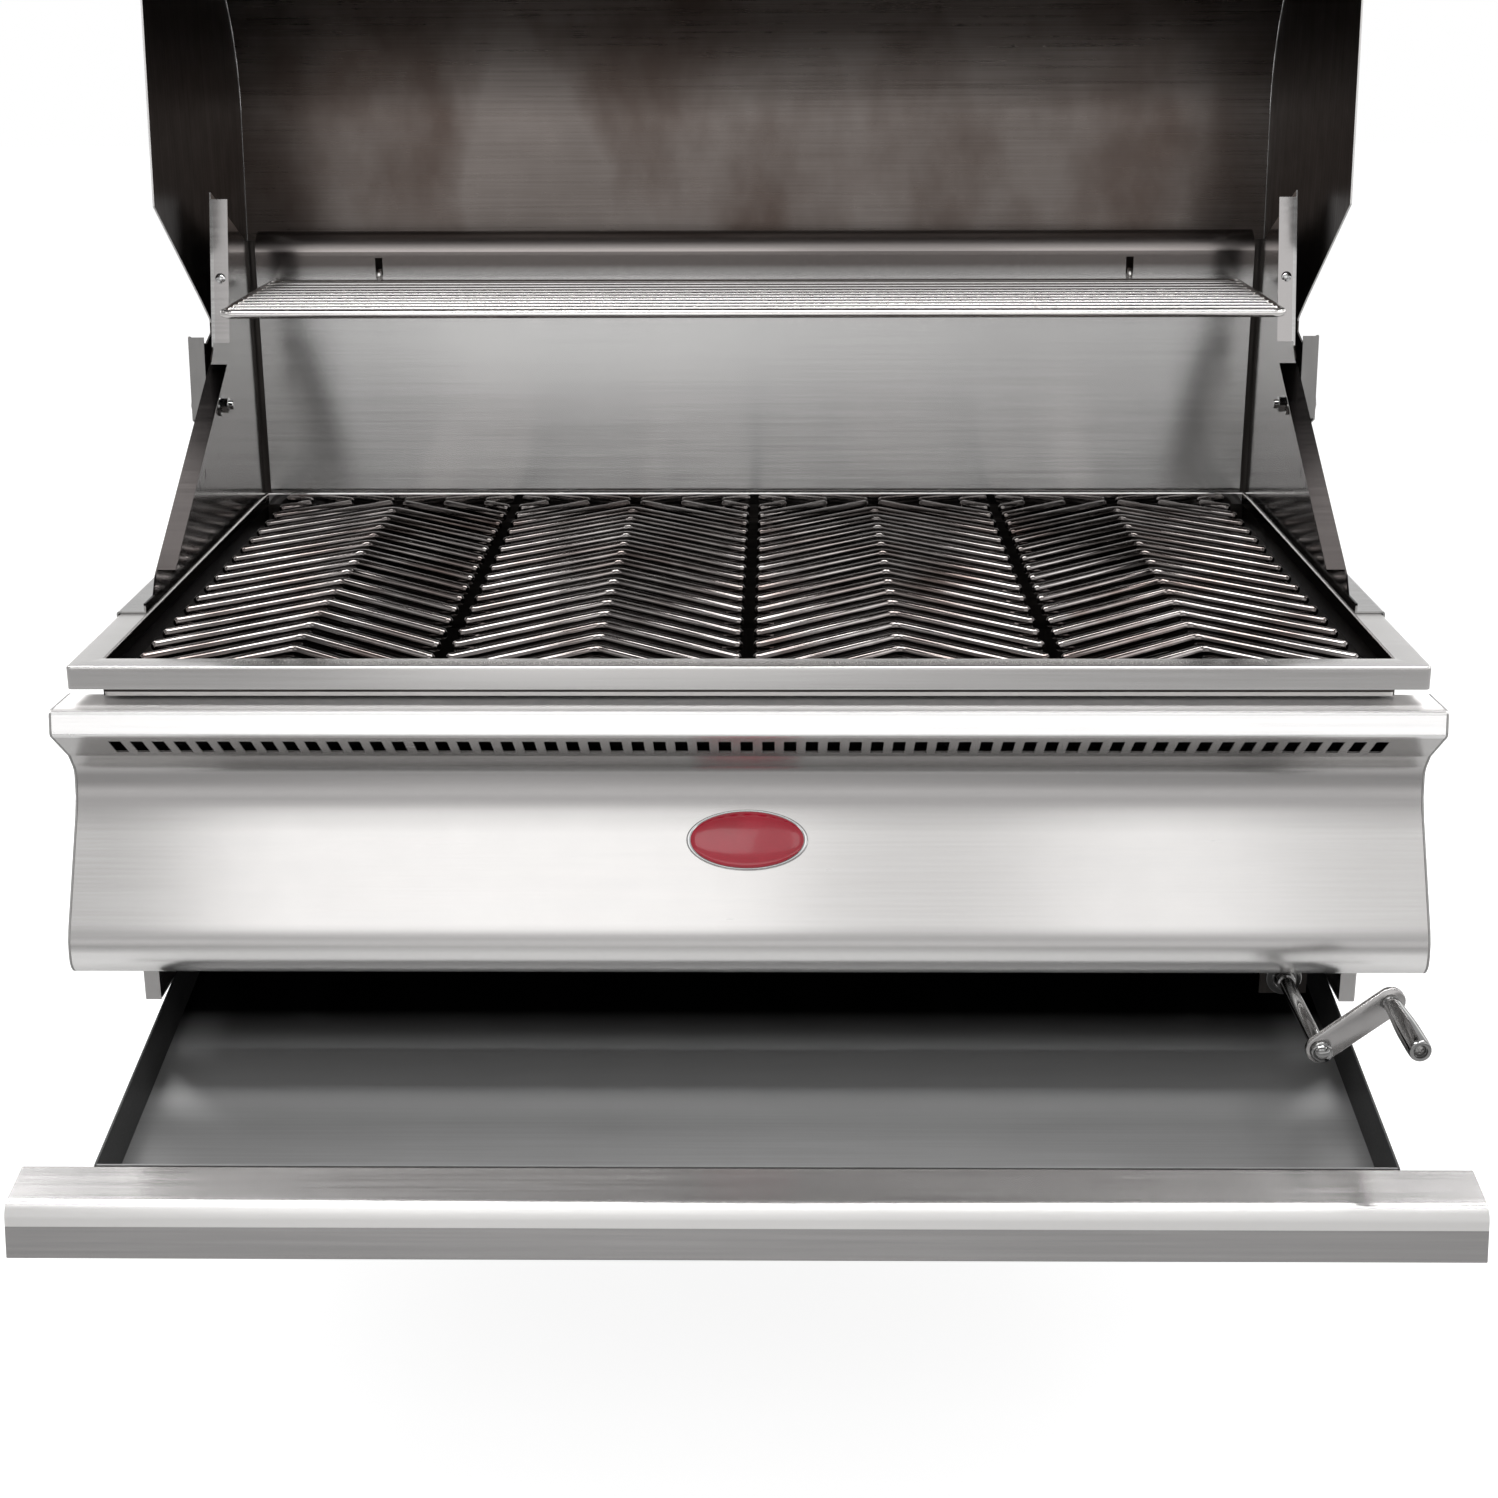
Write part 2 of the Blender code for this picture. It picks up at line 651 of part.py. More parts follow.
def edge_flange(start, end, side, margin=SIDE_FLANGE_MARGIN):
    """A strip turned inward from the side wall along a straight stretch of its front edge."""
    along = (end - start).normalized()
    path = [start + along * margin, end - along * margin]
    outline = [point + Vector((-along.y, along.x)) * EMBED for point in path]
    outline += offset(path, -SHEET)[::-1]
    near, far = span(side, SIDE_X + SHEET / 2, SIDE_X - SIDE_FLANGE)
    return prism(outline, "X", near, far)


def flange_screw_place():
    """Where the screw stands on the upper flange, with the flange's direction and outward normal."""
    notch, peak = side_wall_edge()[3:]
    along = (peak - notch).normalized()
    share = (FLANGE_SCREW_HEIGHT + RIM_HEIGHT - notch.y) / (peak.y - notch.y)
    return notch + (peak - notch) * share, along, Vector((-along.y, along.x))


def angled_pin(profile, side, sides=SMALL_SIDES):
    """A turned solid whose axis is the normal of the upper flange, through the screw's place."""
    spot, along, normal = flange_screw_place()
    x = side * (SIDE_X - SIDE_FLANGE / 2)
    return stand(turned(profile, "Z", (0, 0), sides), x, spot, normal)


def build_side_wall(side, look, bright):
    edge = side_wall_edge()
    rear = BACK_FACE_Y - SIDE_REAR_GAP
    foot_top = RIM_HEIGHT + SEAT_GAP
    outline = [(rear, foot_top + SHEET), (rear, RIM_HEIGHT + SIDE_REAR_HEIGHT)] + edge[::-1]
    near, far = span(side, SIDE_X + EMBED, SIDE_X + SHEET - EMBED)
    wall = piece(side_name(side, "side_wall"), prism(outline, "X", near, far), look)
    lip_x = RIM_X + SIDE_FOOT_OVERHANG
    foot = sheet(
        [
            (lip_x, foot_top - SIDE_FOOT_LIP),
            (lip_x, foot_top),
            (SIDE_X, foot_top),
            (SIDE_X, foot_top + SIDE_FOOT_RISE),
        ],
        [0, SHEET / 2, 0, 0],
        -SHEET,
    )
    start = BACK_FACE_Y - SIDE_FOOT_REACH
    foot_bm = prism(mirrored(foot, side), "Y", start, rear - EMBED)
    join(wall, side_name(side, "wall_foot"), foot_bm)
    join(wall, side_name(side, "wall_lower_flange"), edge_flange(edge[1], edge[2], side))
    join(wall, side_name(side, "wall_upper_flange"), edge_flange(edge[3], edge[4], side))
    bolt_hole = cylinder(
        HINGE_BOLT_RADIUS + SEAT_GAP, "X", (HINGE_Y, HINGE_Z), *span(side, SIDE_X - OVERRUN, RIM_X)
    )
    cut(wall, side_name(side, "wall_bolt_hole"), bolt_hole)
    slits = bmesh.new()
    for number in range(2):
        y = BACK_FACE_Y - VENT_SLIT_REACH - number * VENT_SLIT_STEP
        z = RIM_HEIGHT + VENT_SLIT_LEVEL - number * VENT_SLIT_FALL
        near, far = span(side, SIDE_X - OVERRUN, SIDE_X + OVERRUN)
        low = (near, y - VENT_SLIT_WIDTH / 2, z)
        high = (far, y + VENT_SLIT_WIDTH / 2, z + VENT_SLIT_HEIGHT)
        block(low, high, slits)
    cut(wall, side_name(side, "wall_slits"), slits)
    hole_radius = FLANGE_SCREW_SHANK + SEAT_GAP
    hole = [(0, -OVERRUN), (hole_radius, -OVERRUN), (hole_radius, OVERRUN), (0, OVERRUN)]
    cut(wall, side_name(side, "wall_screw_hole"), angled_pin(hole, side))
    head_base = EMBED + SEAT_GAP
    screw = [
        (0, head_base - FLANGE_SCREW_LENGTH),
        (FLANGE_SCREW_SHANK, head_base - FLANGE_SCREW_LENGTH),
        (FLANGE_SCREW_SHANK, head_base),
        (FLANGE_SCREW_HEAD, head_base),
        (FLANGE_SCREW_HEAD * DOME_SHARES[0], head_base + FLANGE_SCREW_DOME * DOME_SHARES[1]),
        (0, head_base + FLANGE_SCREW_DOME),
    ]
    piece(side_name(side, "flange_screw"), angled_pin(screw, side), bright)


def build_back_wall(look):
    foot = RIM_HEIGHT + SEAT_GAP
    top = RIM_HEIGHT + BACK_HEIGHT
    outline = sheet(
        [
            (BACK_FACE_Y + BACK_FOOT, foot),
            (BACK_FACE_Y, foot),
            (BACK_FACE_Y, top),
            (BACK_FACE_Y + BACK_ROLL, top),
            (BACK_FACE_Y + BACK_ROLL, top - BACK_ROLL_DROP),
        ],
        [0, BEND_RADIUS, BACK_ROLL_RADIUS, SHEET, 0],
        -SHEET,
        FINE_STEP,
    )
    half = SIDE_X - BACK_CORNER_GAP
    wall = piece("back_wall", prism(outline, "X", -half, half), look)
    slots = bmesh.new()
    bottom = RIM_HEIGHT + HANG_SLOT_BOTTOM
    for side in (-1, 1):
        low = (side * HANG_SLOT_X - HANG_SLOT_WIDTH / 2, BACK_FACE_Y - OVERRUN, bottom)
        high = (
            side * HANG_SLOT_X + HANG_SLOT_WIDTH / 2,
            BACK_FACE_Y + BACK_ROLL / 2,
            bottom + HANG_SLOT_HEIGHT,
        )
        block(low, high, slots)
    cut(wall, "hanging_slots", slots)


def panel_path():
    """The outer face of the front panel from its back flange round to its bottom hem, as (y, z)."""
    y = FRONT_FACE_Y
    flange = y - SEAT_GAP
    flange_top = -PANEL_TOP_DROP - PANEL_TOP_FALL
    return [
        (flange, flange_top - PANEL_BACK_FLANGE),
        (flange, flange_top),
        (y - PANEL_NOSE_REACH + PANEL_NOSE_LEAN, -PANEL_TOP_DROP),
        (y - PANEL_NOSE_REACH, -PANEL_NOSE_DROP),
        (y - PANEL_LEDGE_REACH, -PANEL_LEDGE_DROP),
        (y - PANEL_NECK_REACH, -PANEL_NECK_DROP),
        (y - PANEL_NECK_REACH, -PANEL_SWEEP_DROP),
        (y - PANEL_FACE_REACH, -PANEL_FACE_DROP),
        (y - PANEL_FACE_REACH, -PANEL_BOTTOM_DROP),
        (y - PANEL_HEM_REACH, -PANEL_BOTTOM_DROP),
        (y - PANEL_HEM_REACH, -PANEL_BOTTOM_DROP + PANEL_HEM_RISE),
    ]


PANEL_RADII = [
    0,
    SHEET * 2,
    PANEL_NOSE_RADIUS,
    PANEL_NOSE_RADIUS,
    0,
    PANEL_NECK_RADIUS,
    PANEL_SWEEP_RADIUS,
    PANEL_BULGE_RADIUS,
    PANEL_BOTTOM_RADIUS,
    BEND_RADIUS,
    0,
]


def build_front_panel(look, dark):
    half = RIM_X + PANEL_OVERHANG
    sheet_end = half - SHEET - SEAT_GAP
    path = panel_path()
    outline = sheet(path, PANEL_RADII, SHEET, FINE_STEP)
    panel = piece("front_panel", prism(outline, "X", -sheet_end, sheet_end), look)
    nose = Vector(path[3])
    ledge = Vector(path[4])
    slope = (ledge - nose).normalized()
    square = Vector((-slope.y, slope.x))
    middle = nose + (ledge - nose) * PANEL_VENT_SHARE
    vents = bmesh.new()
    reach = half - PANEL_VENT_MARGIN
    count = int(2 * reach / PANEL_VENT_PITCH) + 1
    for number in range(count):
        x = (number - (count - 1) / 2) * PANEL_VENT_PITCH
        ends = [middle - slope * PANEL_VENT_LENGTH / 2, middle + slope * PANEL_VENT_LENGTH / 2]
        window = [ends[0] - square * OVERRUN, ends[1] - square * OVERRUN]
        window += [ends[1] + square * OVERRUN, ends[0] + square * OVERRUN]
        prism(window, "X", x - PANEL_VENT_WIDTH / 2, x + PANEL_VENT_WIDTH / 2, vents)
    cut(panel, "panel_vents", vents)
    corners = path[1:9] + [(path[1][0], path[9][1])]
    cap = rounded(corners, [0] + PANEL_RADII[2:9] + [0], FINE_STEP)
    for side in (-1, 1):
        near, far = span(side, half - SHEET, half)
        piece(side_name(side, "end_cap"), prism(cap, "X", near, far), dark)
        build_stay(side, dark)


def build_stay(side, look):
    """A bent strap from the firebox's front wall to the hem under the front panel."""
    wall = FRONT_FACE_Y - SEAT_GAP
    hem = FRONT_FACE_Y - PANEL_HEM_REACH + SEAT_GAP
    floor = -PANEL_BOTTOM_DROP + STAY_DEPTH_SPARE
    outline = sheet(
        [
            (wall, floor + STAY_FOOT),
            (wall, floor),
            (hem, floor),
            (hem, floor + PANEL_HEM_RISE),
        ],
        [0, BEND_RADIUS / 2, BEND_RADIUS / 2, 0],
        -SHEET,
    )
    near, far = span(side, STAY_X - STAY_WIDTH / 2, STAY_X + STAY_WIDTH / 2)
    piece(side_name(side, "panel_stay"), prism(outline, "X", near, far), look)


def build_badge(look):
    """A domed oval that stands square on the slanted face of the front panel."""
    high, low = [Vector(point) for point in panel_path()[6:8]]
    share = (BADGE_DROP + high.y) / (high.y - low.y)
    down = (low - high).normalized()
    profile = [(0, 0), (1, 0), (1, BADGE_RIM)]
    profile += [(radius, BADGE_RIM + (BADGE_DOME - BADGE_RIM) * rise) for radius, rise in BADGE_SHARES]
    oval = turned(profile, "Z", (0, 0), OVAL_SIDES)
    shape = Matrix.Diagonal((BADGE_WIDTH / 2, BADGE_HEIGHT / 2, 1)).to_4x4()
    bmesh.ops.transform(oval, matrix=shape, verts=oval.verts)
    out = Vector((down.y, -down.x))
    stand(oval, 0, high + (low - high) * share + out * BADGE_GAP, out)
    piece("badge", oval, look)


def chevron_paths():
    """The bent rods of one grate about its middle: full chevrons, then rods cut at an end."""
    half = GRATE_WIDTH / 2
    bar_x = half - GRATE_SIDE_INSET - GRATE_BAR_WIDTH
    slope = math.tan(GRATE_ROD_SLANT)
    paths = []
    number = 0
    while True:
        apex = -GRATE_Y + GRATE_FIRST_APEX + number * GRATE_ROD_PITCH
        end = apex - slope * half
        if apex - GRATE_Y > slope * bar_x or end >= GRATE_Y - GRATE_ROD:
            return paths
        foot_y = max(end, -GRATE_Y)
        foot_x = (apex - foot_y) / slope
        if apex <= GRATE_Y - ROD_RADIUS:
            corners = [(-foot_x, foot_y), (0, apex), (foot_x, foot_y)]
            paths.append(rounded(corners, [0, GRATE_BEND_RADIUS, 0], math.pi / 2))
        else:
            head_x = (apex - GRATE_Y) / slope
            paths.append([Vector((-foot_x, foot_y)), Vector((-head_x, GRATE_Y))])
            paths.append([Vector((head_x, GRATE_Y)), Vector((foot_x, foot_y))])
        number += 1


def build_grates(look):
    up = Vector((0, 0, 1))
    bar_top = GRATE_BOTTOM + GRATE_BAR_HEIGHT
    outer = (GRATE_WIDTH / 2 - GRATE_SIDE_INSET, GRATE_Y - GRATE_END_INSET)
    inner = (outer[0] - GRATE_BAR_WIDTH, outer[1] - GRATE_BAR_WIDTH)
    loops = [(*outer, GRATE_BOTTOM), (*outer, bar_top), (*inner, bar_top), (*inner, GRATE_BOTTOM)]
    for number in range(GRATE_COUNT):
        centre = (number - (GRATE_COUNT - 1) / 2) * (GRATE_WIDTH + GRATE_SPACE)
        bars = frame_ring(loops, GRATE_BAR_WIDTH)
        grate = piece(f"cooking_grate_{number + 1}", bars, look, location=(centre, 0, 0))
        rods = bmesh.new()
        for path in chevron_paths():
            rod([(point.x, point.y, ROD_Z) for point in path], up, ROD_RADIUS, bm=rods)
        join(grate, f"grate_rods_{number + 1}", rods)


def build_rack(look):
    """The warming rack hangs by two hooks in the slots of the back wall."""
    up = Vector((0, 0, 1))
    frame_radius = RACK_FRAME_ROD / 2
    wire_radius = RACK_WIRE / 2
    z = RIM_HEIGHT + RACK_HEIGHT
    half_x = SIDE_X - SIDE_FLANGE - RACK_SIDE_CLEARANCE - frame_radius
    rear = BACK_FACE_Y - SEAT_GAP - frame_radius
    front = rear + frame_radius - RACK_DEPTH
    corners = [(-half_x, front), (half_x, front), (half_x, rear), (-half_x, rear)]
    loop = rounded(corners, [RACK_CORNER] * 4, math.pi / 4)
    frame = rod([(point.x, point.y, z) for point in loop], up, frame_radius, 8, closed=True)
    rack = piece("warming_rack", frame, look)
    cross = bmesh.new()
    cross_z = z - wire_radius - RACK_LAYER_GAP / 2
    cross_pitch = 2 * (half_x - RACK_CROSS_MARGIN) / (RACK_CROSS_WIRES - 1)
    for number in range(RACK_CROSS_WIRES):
        x = (number - (RACK_CROSS_WIRES - 1) / 2) * cross_pitch
        rod([(x, front, cross_z), (x, rear, cross_z)], up, wire_radius, WIRE_SIDES, bm=cross)
    join(rack, "rack_cross_wires", cross)
    wires = bmesh.new()
    wire_z = z + wire_radius + RACK_LAYER_GAP / 2
    for number in range(RACK_WIRES):
        y = front + (rear - front) * (number + 1) / (RACK_WIRES + 1)
        rod([(-half_x, y, wire_z), (half_x, y, wire_z)], up, wire_radius, WIRE_SIDES, bm=wires)
    join(rack, "rack_wires", wires)
    hooks = bmesh.new()
    hook_z = RIM_HEIGHT + HANG_SLOT_BOTTOM + RACK_HOOK_ROD / 2 + SEAT_GAP
    for side in (-1, 1):
        x = side * HANG_SLOT_X
        path = [(x, rear, z), (x, rear, hook_z), (x, BACK_FACE_Y + RACK_HOOK_TAIL, hook_z)]
        rod(path, Vector((1, 0, 0)), RACK_HOOK_ROD / 2, bm=hooks)
    join(rack, "rack_hooks", hooks)


def hood_path():
    """The closed hood's outer face about the hinge line, from the front hem over the top, as (y, z)."""
    top_front = -HOOD_FRONT + HOOD_LEAN
    return [
        (-HOOD_FRONT + HOOD_HEM, -HOOD_BOTTOM),
        (-HOOD_FRONT, -HOOD_BOTTOM),
        (top_front, HOOD_TOP),
        (HOOD_REAR, HOOD_TOP),
        (HOOD_REAR, HOOD_TOP - HOOD_REAR_LIP),
    ]


def hood_face(height):
    """A point of the closed hood's straight front face above its bottom edge, and the face's normal."""
    low = Vector(hood_path()[1])
    high = Vector(hood_path()[2])
    slope = (high - low).normalized()
    return low + slope * height / slope.y, Vector((-slope.y, slope.x))


def face_turned(profile, x, height, closed=False, sides=ROUND_SIDES):
    """A turned solid standing square on the hood's front face."""
    spot, normal = hood_face(height)
    return stand(turned(profile, "Z", (0, 0), sides, closed), x, spot, normal)


def build_hood(look, inside, bright, dial):
    hinge = pivot("hood_hinge_line", (0, HINGE_Y, HINGE_Z), -HOOD_OPEN_ANGLE)
    radii = [0, SHEET * 2, HOOD_CROWN_RADIUS, SHEET * 4, 0]
    shell_x = HOOD_X - SHEET - SEAT_GAP
    outline = sheet(hood_path(), radii, -SHEET, FINE_STEP)
    piece("hood_shell", prism(outline, "X", -shell_x, shell_x), look, hinge)
    crown = rounded(hood_path(), radii, FINE_STEP)
    sill = [
        (-HOOD_SIDE_RISE_START, -HOOD_BOTTOM),
        (-HOOD_SHOULDER_REACH, HOOD_SHOULDER_HEIGHT),
        (-HOOD_NOTCH_FRONT, HOOD_NOTCH_TOP),
        (-HOOD_NOTCH_REAR, HOOD_NOTCH_TOP),
        (-HOOD_NECK_REACH, HOOD_NECK_HEIGHT),
        (-HOOD_TAB_FRONT, -HOOD_TAB_DROP),
        (HOOD_TAB_REAR, -HOOD_TAB_DROP),
    ]
    radius = HOOD_NOTCH_RADIUS
    outline = crown[1:] + rounded(sill, [0, 0, radius, radius, 0, 0, 0])[::-1]
    for side in (-1, 1):
        near, far = span(side, HOOD_X - SHEET, HOOD_X)
        panel = piece(side_name(side, "hood_side"), prism(outline, "X", near, far), inside, hinge)
        near, far = span(side, HOOD_X - HOOD_TAB_FLANGE, HOOD_X - EMBED)
        low = (near, -HOOD_TAB_FRONT + HOOD_TAB_MARGIN, -HOOD_TAB_DROP - EMBED)
        high = (far, HOOD_TAB_REAR - HOOD_TAB_MARGIN, -HOOD_TAB_DROP + SHEET)
        join(panel, side_name(side, "tab_flange"), block(low, high))
        hole = cylinder(
            HINGE_BOLT_RADIUS + SEAT_GAP,
            "X",
            (0, 0),
            *span(side, HOOD_X - OVERRUN, HOOD_X + OVERRUN),
        )
        cut(panel, side_name(side, "tab_bolt_hole"), hole)
        build_hinge_bolt(side, bright)
        build_handle_post(side, bright, hinge)
    build_handle(bright, hinge)
    build_gauge(hinge, bright, dial)


def build_hinge_bolt(side, look):
    """A shoulder bolt from outside the hood's side to the nut inside the side wall, one turned solid."""
    centre = (HINGE_Y, HINGE_Z)
    tip = SIDE_X - SEAT_GAP - HINGE_WASHER - HINGE_NUT_HEIGHT - HINGE_TIP
    nut_in = SIDE_X - SEAT_GAP - HINGE_WASHER - HINGE_NUT_HEIGHT
    washer_in = SIDE_X - SEAT_GAP - HINGE_WASHER
    wall_in = SIDE_X - SEAT_GAP
    wall_out = SIDE_X + SHEET + SEAT_GAP
    tab_in = HOOD_X - SHEET - SEAT_GAP
    tab_out = HOOD_X + SEAT_GAP
    head = tab_out + HINGE_HEAD_HEIGHT
    profile = [
        (0, tip),
        (HINGE_BOLT_RADIUS, tip),
        (HINGE_BOLT_RADIUS, nut_in),
        (HINGE_NUT_RADIUS, nut_in),
        (HINGE_NUT_RADIUS, washer_in),
        (HINGE_WASHER_RADIUS, washer_in),
        (HINGE_WASHER_RADIUS, wall_in),
        (HINGE_BOLT_RADIUS, wall_in),
        (HINGE_BOLT_RADIUS, wall_out),
        (HINGE_SHOULDER_RADIUS, wall_out),
        (HINGE_SHOULDER_RADIUS, tab_in),
        (HINGE_BOLT_RADIUS, tab_in),
        (HINGE_BOLT_RADIUS, tab_out),
        (HINGE_HEAD_RADIUS, tab_out),
        (HINGE_HEAD_RADIUS, head),
        (0, head),
    ]
    profile = [(radius, side * along) for radius, along in profile]
    piece(side_name(side, "hinge_bolt"), turned(profile, "X", centre, SMALL_SIDES), look)


def build_handle_post(side, look, hinge):
    tip = HANDLE_STANDOFF - HANDLE_RADIUS - SEAT_GAP
    profile = [
        (0, SEAT_GAP),
        (HANDLE_POST_FLARE, SEAT_GAP),
        (HANDLE_POST_FLARE, SEAT_GAP + HANDLE_POST_FOOT / 2),
        (HANDLE_POST_RADIUS, SEAT_GAP + HANDLE_POST_FOOT),
        (HANDLE_POST_RADIUS, tip),
        (0, tip),
    ]
    bm = face_turned(profile, side * HANDLE_POST_X, HANDLE_FACE_HEIGHT, sides=SMALL_SIDES)
    piece(side_name(side, "handle_post"), bm, look, hinge)


def build_handle(look, hinge):
    spot, normal = hood_face(HANDLE_FACE_HEIGHT)
    centre = spot + normal * HANDLE_STANDOFF
    half = HANDLE_LENGTH / 2
    bore = HANDLE_RADIUS - HANDLE_WALL
    profile = []
    for end in (-1, 1):
        profile += [
            (HANDLE_VENT_RADIUS, end * (half - HANDLE_WALL)),
            (HANDLE_VENT_RADIUS, end * half),
            (HANDLE_RADIUS * DOME_SHARES[1], end * half),
            (HANDLE_RADIUS, end * (half - HANDLE_CAP)),
        ][::-end]
    profile += [(bore, half - HANDLE_CAP), (bore, HANDLE_CAP - half)]
    bm = turned(profile, "X", centre, closed=True)
    piece("hood_handle", bm, look, hinge)


def build_gauge(hinge, look, dial):
    """The hood thermometer: a cup with a bezel and a needle that turns on its hub."""
    face = GAUGE_DEPTH - GAUGE_RECESS
    profile = [
        (0, SEAT_GAP),
        (GAUGE_RADIUS, SEAT_GAP),
        (GAUGE_RADIUS, GAUGE_DEPTH),
        (GAUGE_RADIUS - GAUGE_BEZEL, GAUGE_DEPTH),
        (GAUGE_RADIUS - GAUGE_BEZEL, face),
        (GAUGE_HUB_RADIUS, face),
        (GAUGE_HUB_RADIUS, face + GAUGE_HUB_HEIGHT),
        (0, face + GAUGE_HUB_HEIGHT),
    ]
    piece("thermometer_case", face_turned(profile, 0, GAUGE_FACE_HEIGHT), look, hinge)
    low = face + GAUGE_HUB_HEIGHT + SEAT_GAP
    outline = [
        (-NEEDLE_WIDTH, 0),
        (-NEEDLE_WIDTH, -NEEDLE_TAIL),
        (NEEDLE_WIDTH, -NEEDLE_TAIL),
        (NEEDLE_WIDTH, 0),
        (NEEDLE_WIDTH / 4, NEEDLE_LENGTH),
        (-NEEDLE_WIDTH / 4, NEEDLE_LENGTH),
    ]
    bm = prism(outline, "Z", low, low + NEEDLE_THICKNESS)
    bmesh.ops.rotate(bm, matrix=Matrix.Rotation(NEEDLE_REST, 3, "Z"), verts=bm.verts)
    spot, normal = hood_face(GAUGE_FACE_HEIGHT)
    stand(bm, 0, Vector((0, 0)), normal)
    piece("thermometer_needle", bm, dial, hinge, (0, spot.x, spot.y))


def build_tray(look):
    """The charcoal tray: an open pan with slots in its floor and a pin near each corner."""
    low = (-TRAY_X, -TRAY_Y, TRAY_FLOOR)
    high = (TRAY_X, TRAY_Y, TRAY_FLOOR + TRAY_DEPTH)
    tray = piece("charcoal_tray", block(low, high), look)
    low = (-TRAY_X + SHEET, -TRAY_Y + SHEET, TRAY_FLOOR + SHEET)
    high = (TRAY_X - SHEET, TRAY_Y - SHEET, TRAY_FLOOR + TRAY_DEPTH + OVERRUN)
    cut(tray, "tray_hollow", block(low, high))
    slots = bmesh.new()
    row_length = 2 * (TRAY_Y - TRAY_SLOT_MARGIN) / TRAY_SLOT_ROWS
    pitch = 2 * (TRAY_X - TRAY_SLOT_MARGIN) / (TRAY_SLOTS - 1)
    for column in range(TRAY_SLOTS):
        x = -TRAY_X + TRAY_SLOT_MARGIN + column * pitch
        for row in range(TRAY_SLOT_ROWS):
            y = -TRAY_Y + TRAY_SLOT_MARGIN + row * row_length + row_length / 2
            reach = (row_length - TRAY_SLOT_MARGIN) / 2
            low = (x - TRAY_SLOT_WIDTH / 2, y - reach, TRAY_FLOOR - OVERRUN)
            high = (x + TRAY_SLOT_WIDTH / 2, y + reach, TRAY_FLOOR + SHEET + OVERRUN)
            block(low, high, slots)
    cut(tray, "tray_slots", slots)
    pins = bmesh.new()
    for side in (-1, 1):
        for y in (-PIN_SPREAD, PIN_SPREAD):
            near, far = span(side, TRAY_X - SHEET / 2, INNER_X - PIN_END_CLEARANCE)
            cylinder(PIN_RADIUS, "X", (y, PIN_Z), near, far, SMALL_SIDES, pins)
    join(tray, "tray_pins", pins)


def build_guides(look):
    """Four upright channels on the firebox walls whose slots let the tray's pins only rise and fall."""
    wall = INNER_X - SEAT_GAP
    half = GUIDE_WIDTH / 2
    bottom = PIN_Z - GUIDE_END
    top = PIN_Z + TRAY_LIFT + GUIDE_END
    slot = PIN_RADIUS + PIN_CLEARANCE
    for side in (-1, 1):
        for end, y in (("front", -PIN_SPREAD), ("rear", PIN_SPREAD)):
            points = [(wall, -half), (GUIDE_X, -half), (GUIDE_X, half), (wall, half)]
            outline = sheet(points, [0, BEND_RADIUS / 2, BEND_RADIUS / 2, 0], -SHEET)
            outline = [(side * point[0], y + point[1]) for point in outline]
            guide = piece(side_name(side, f"{end}_tray_guide"), prism(outline, "Z", bottom, top), look)
            near, far = span(side, GUIDE_X - OVERRUN, GUIDE_X + SHEET + OVERRUN)
            low = (near, y - slot, PIN_Z - slot)
            high = (far, y + slot, PIN_Z + TRAY_LIFT + slot)
            cut(guide, side_name(side, f"{end}_guide_slot"), block(low, high))


def ramp_slot(y, side, bm):
    """A slot at 45 degrees: as the plate slides towards the front, the pin in it climbs as far."""
    slot = PIN_RADIUS + PIN_CLEARANCE
    diagonal = slot * math.sqrt(2)
    outline = [
        (y - diagonal, PIN_Z),
        (y, PIN_Z - diagonal),
        (y + TRAY_LIFT + diagonal, PIN_Z + TRAY_LIFT),
        (y + TRAY_LIFT, PIN_Z + TRAY_LIFT + diagonal),
    ]
    near, far = span(side, RAMP_X - OVERRUN, RAMP_X + RAMP_SHEET + OVERRUN)
    prism(outline, "X", near, far, bm)


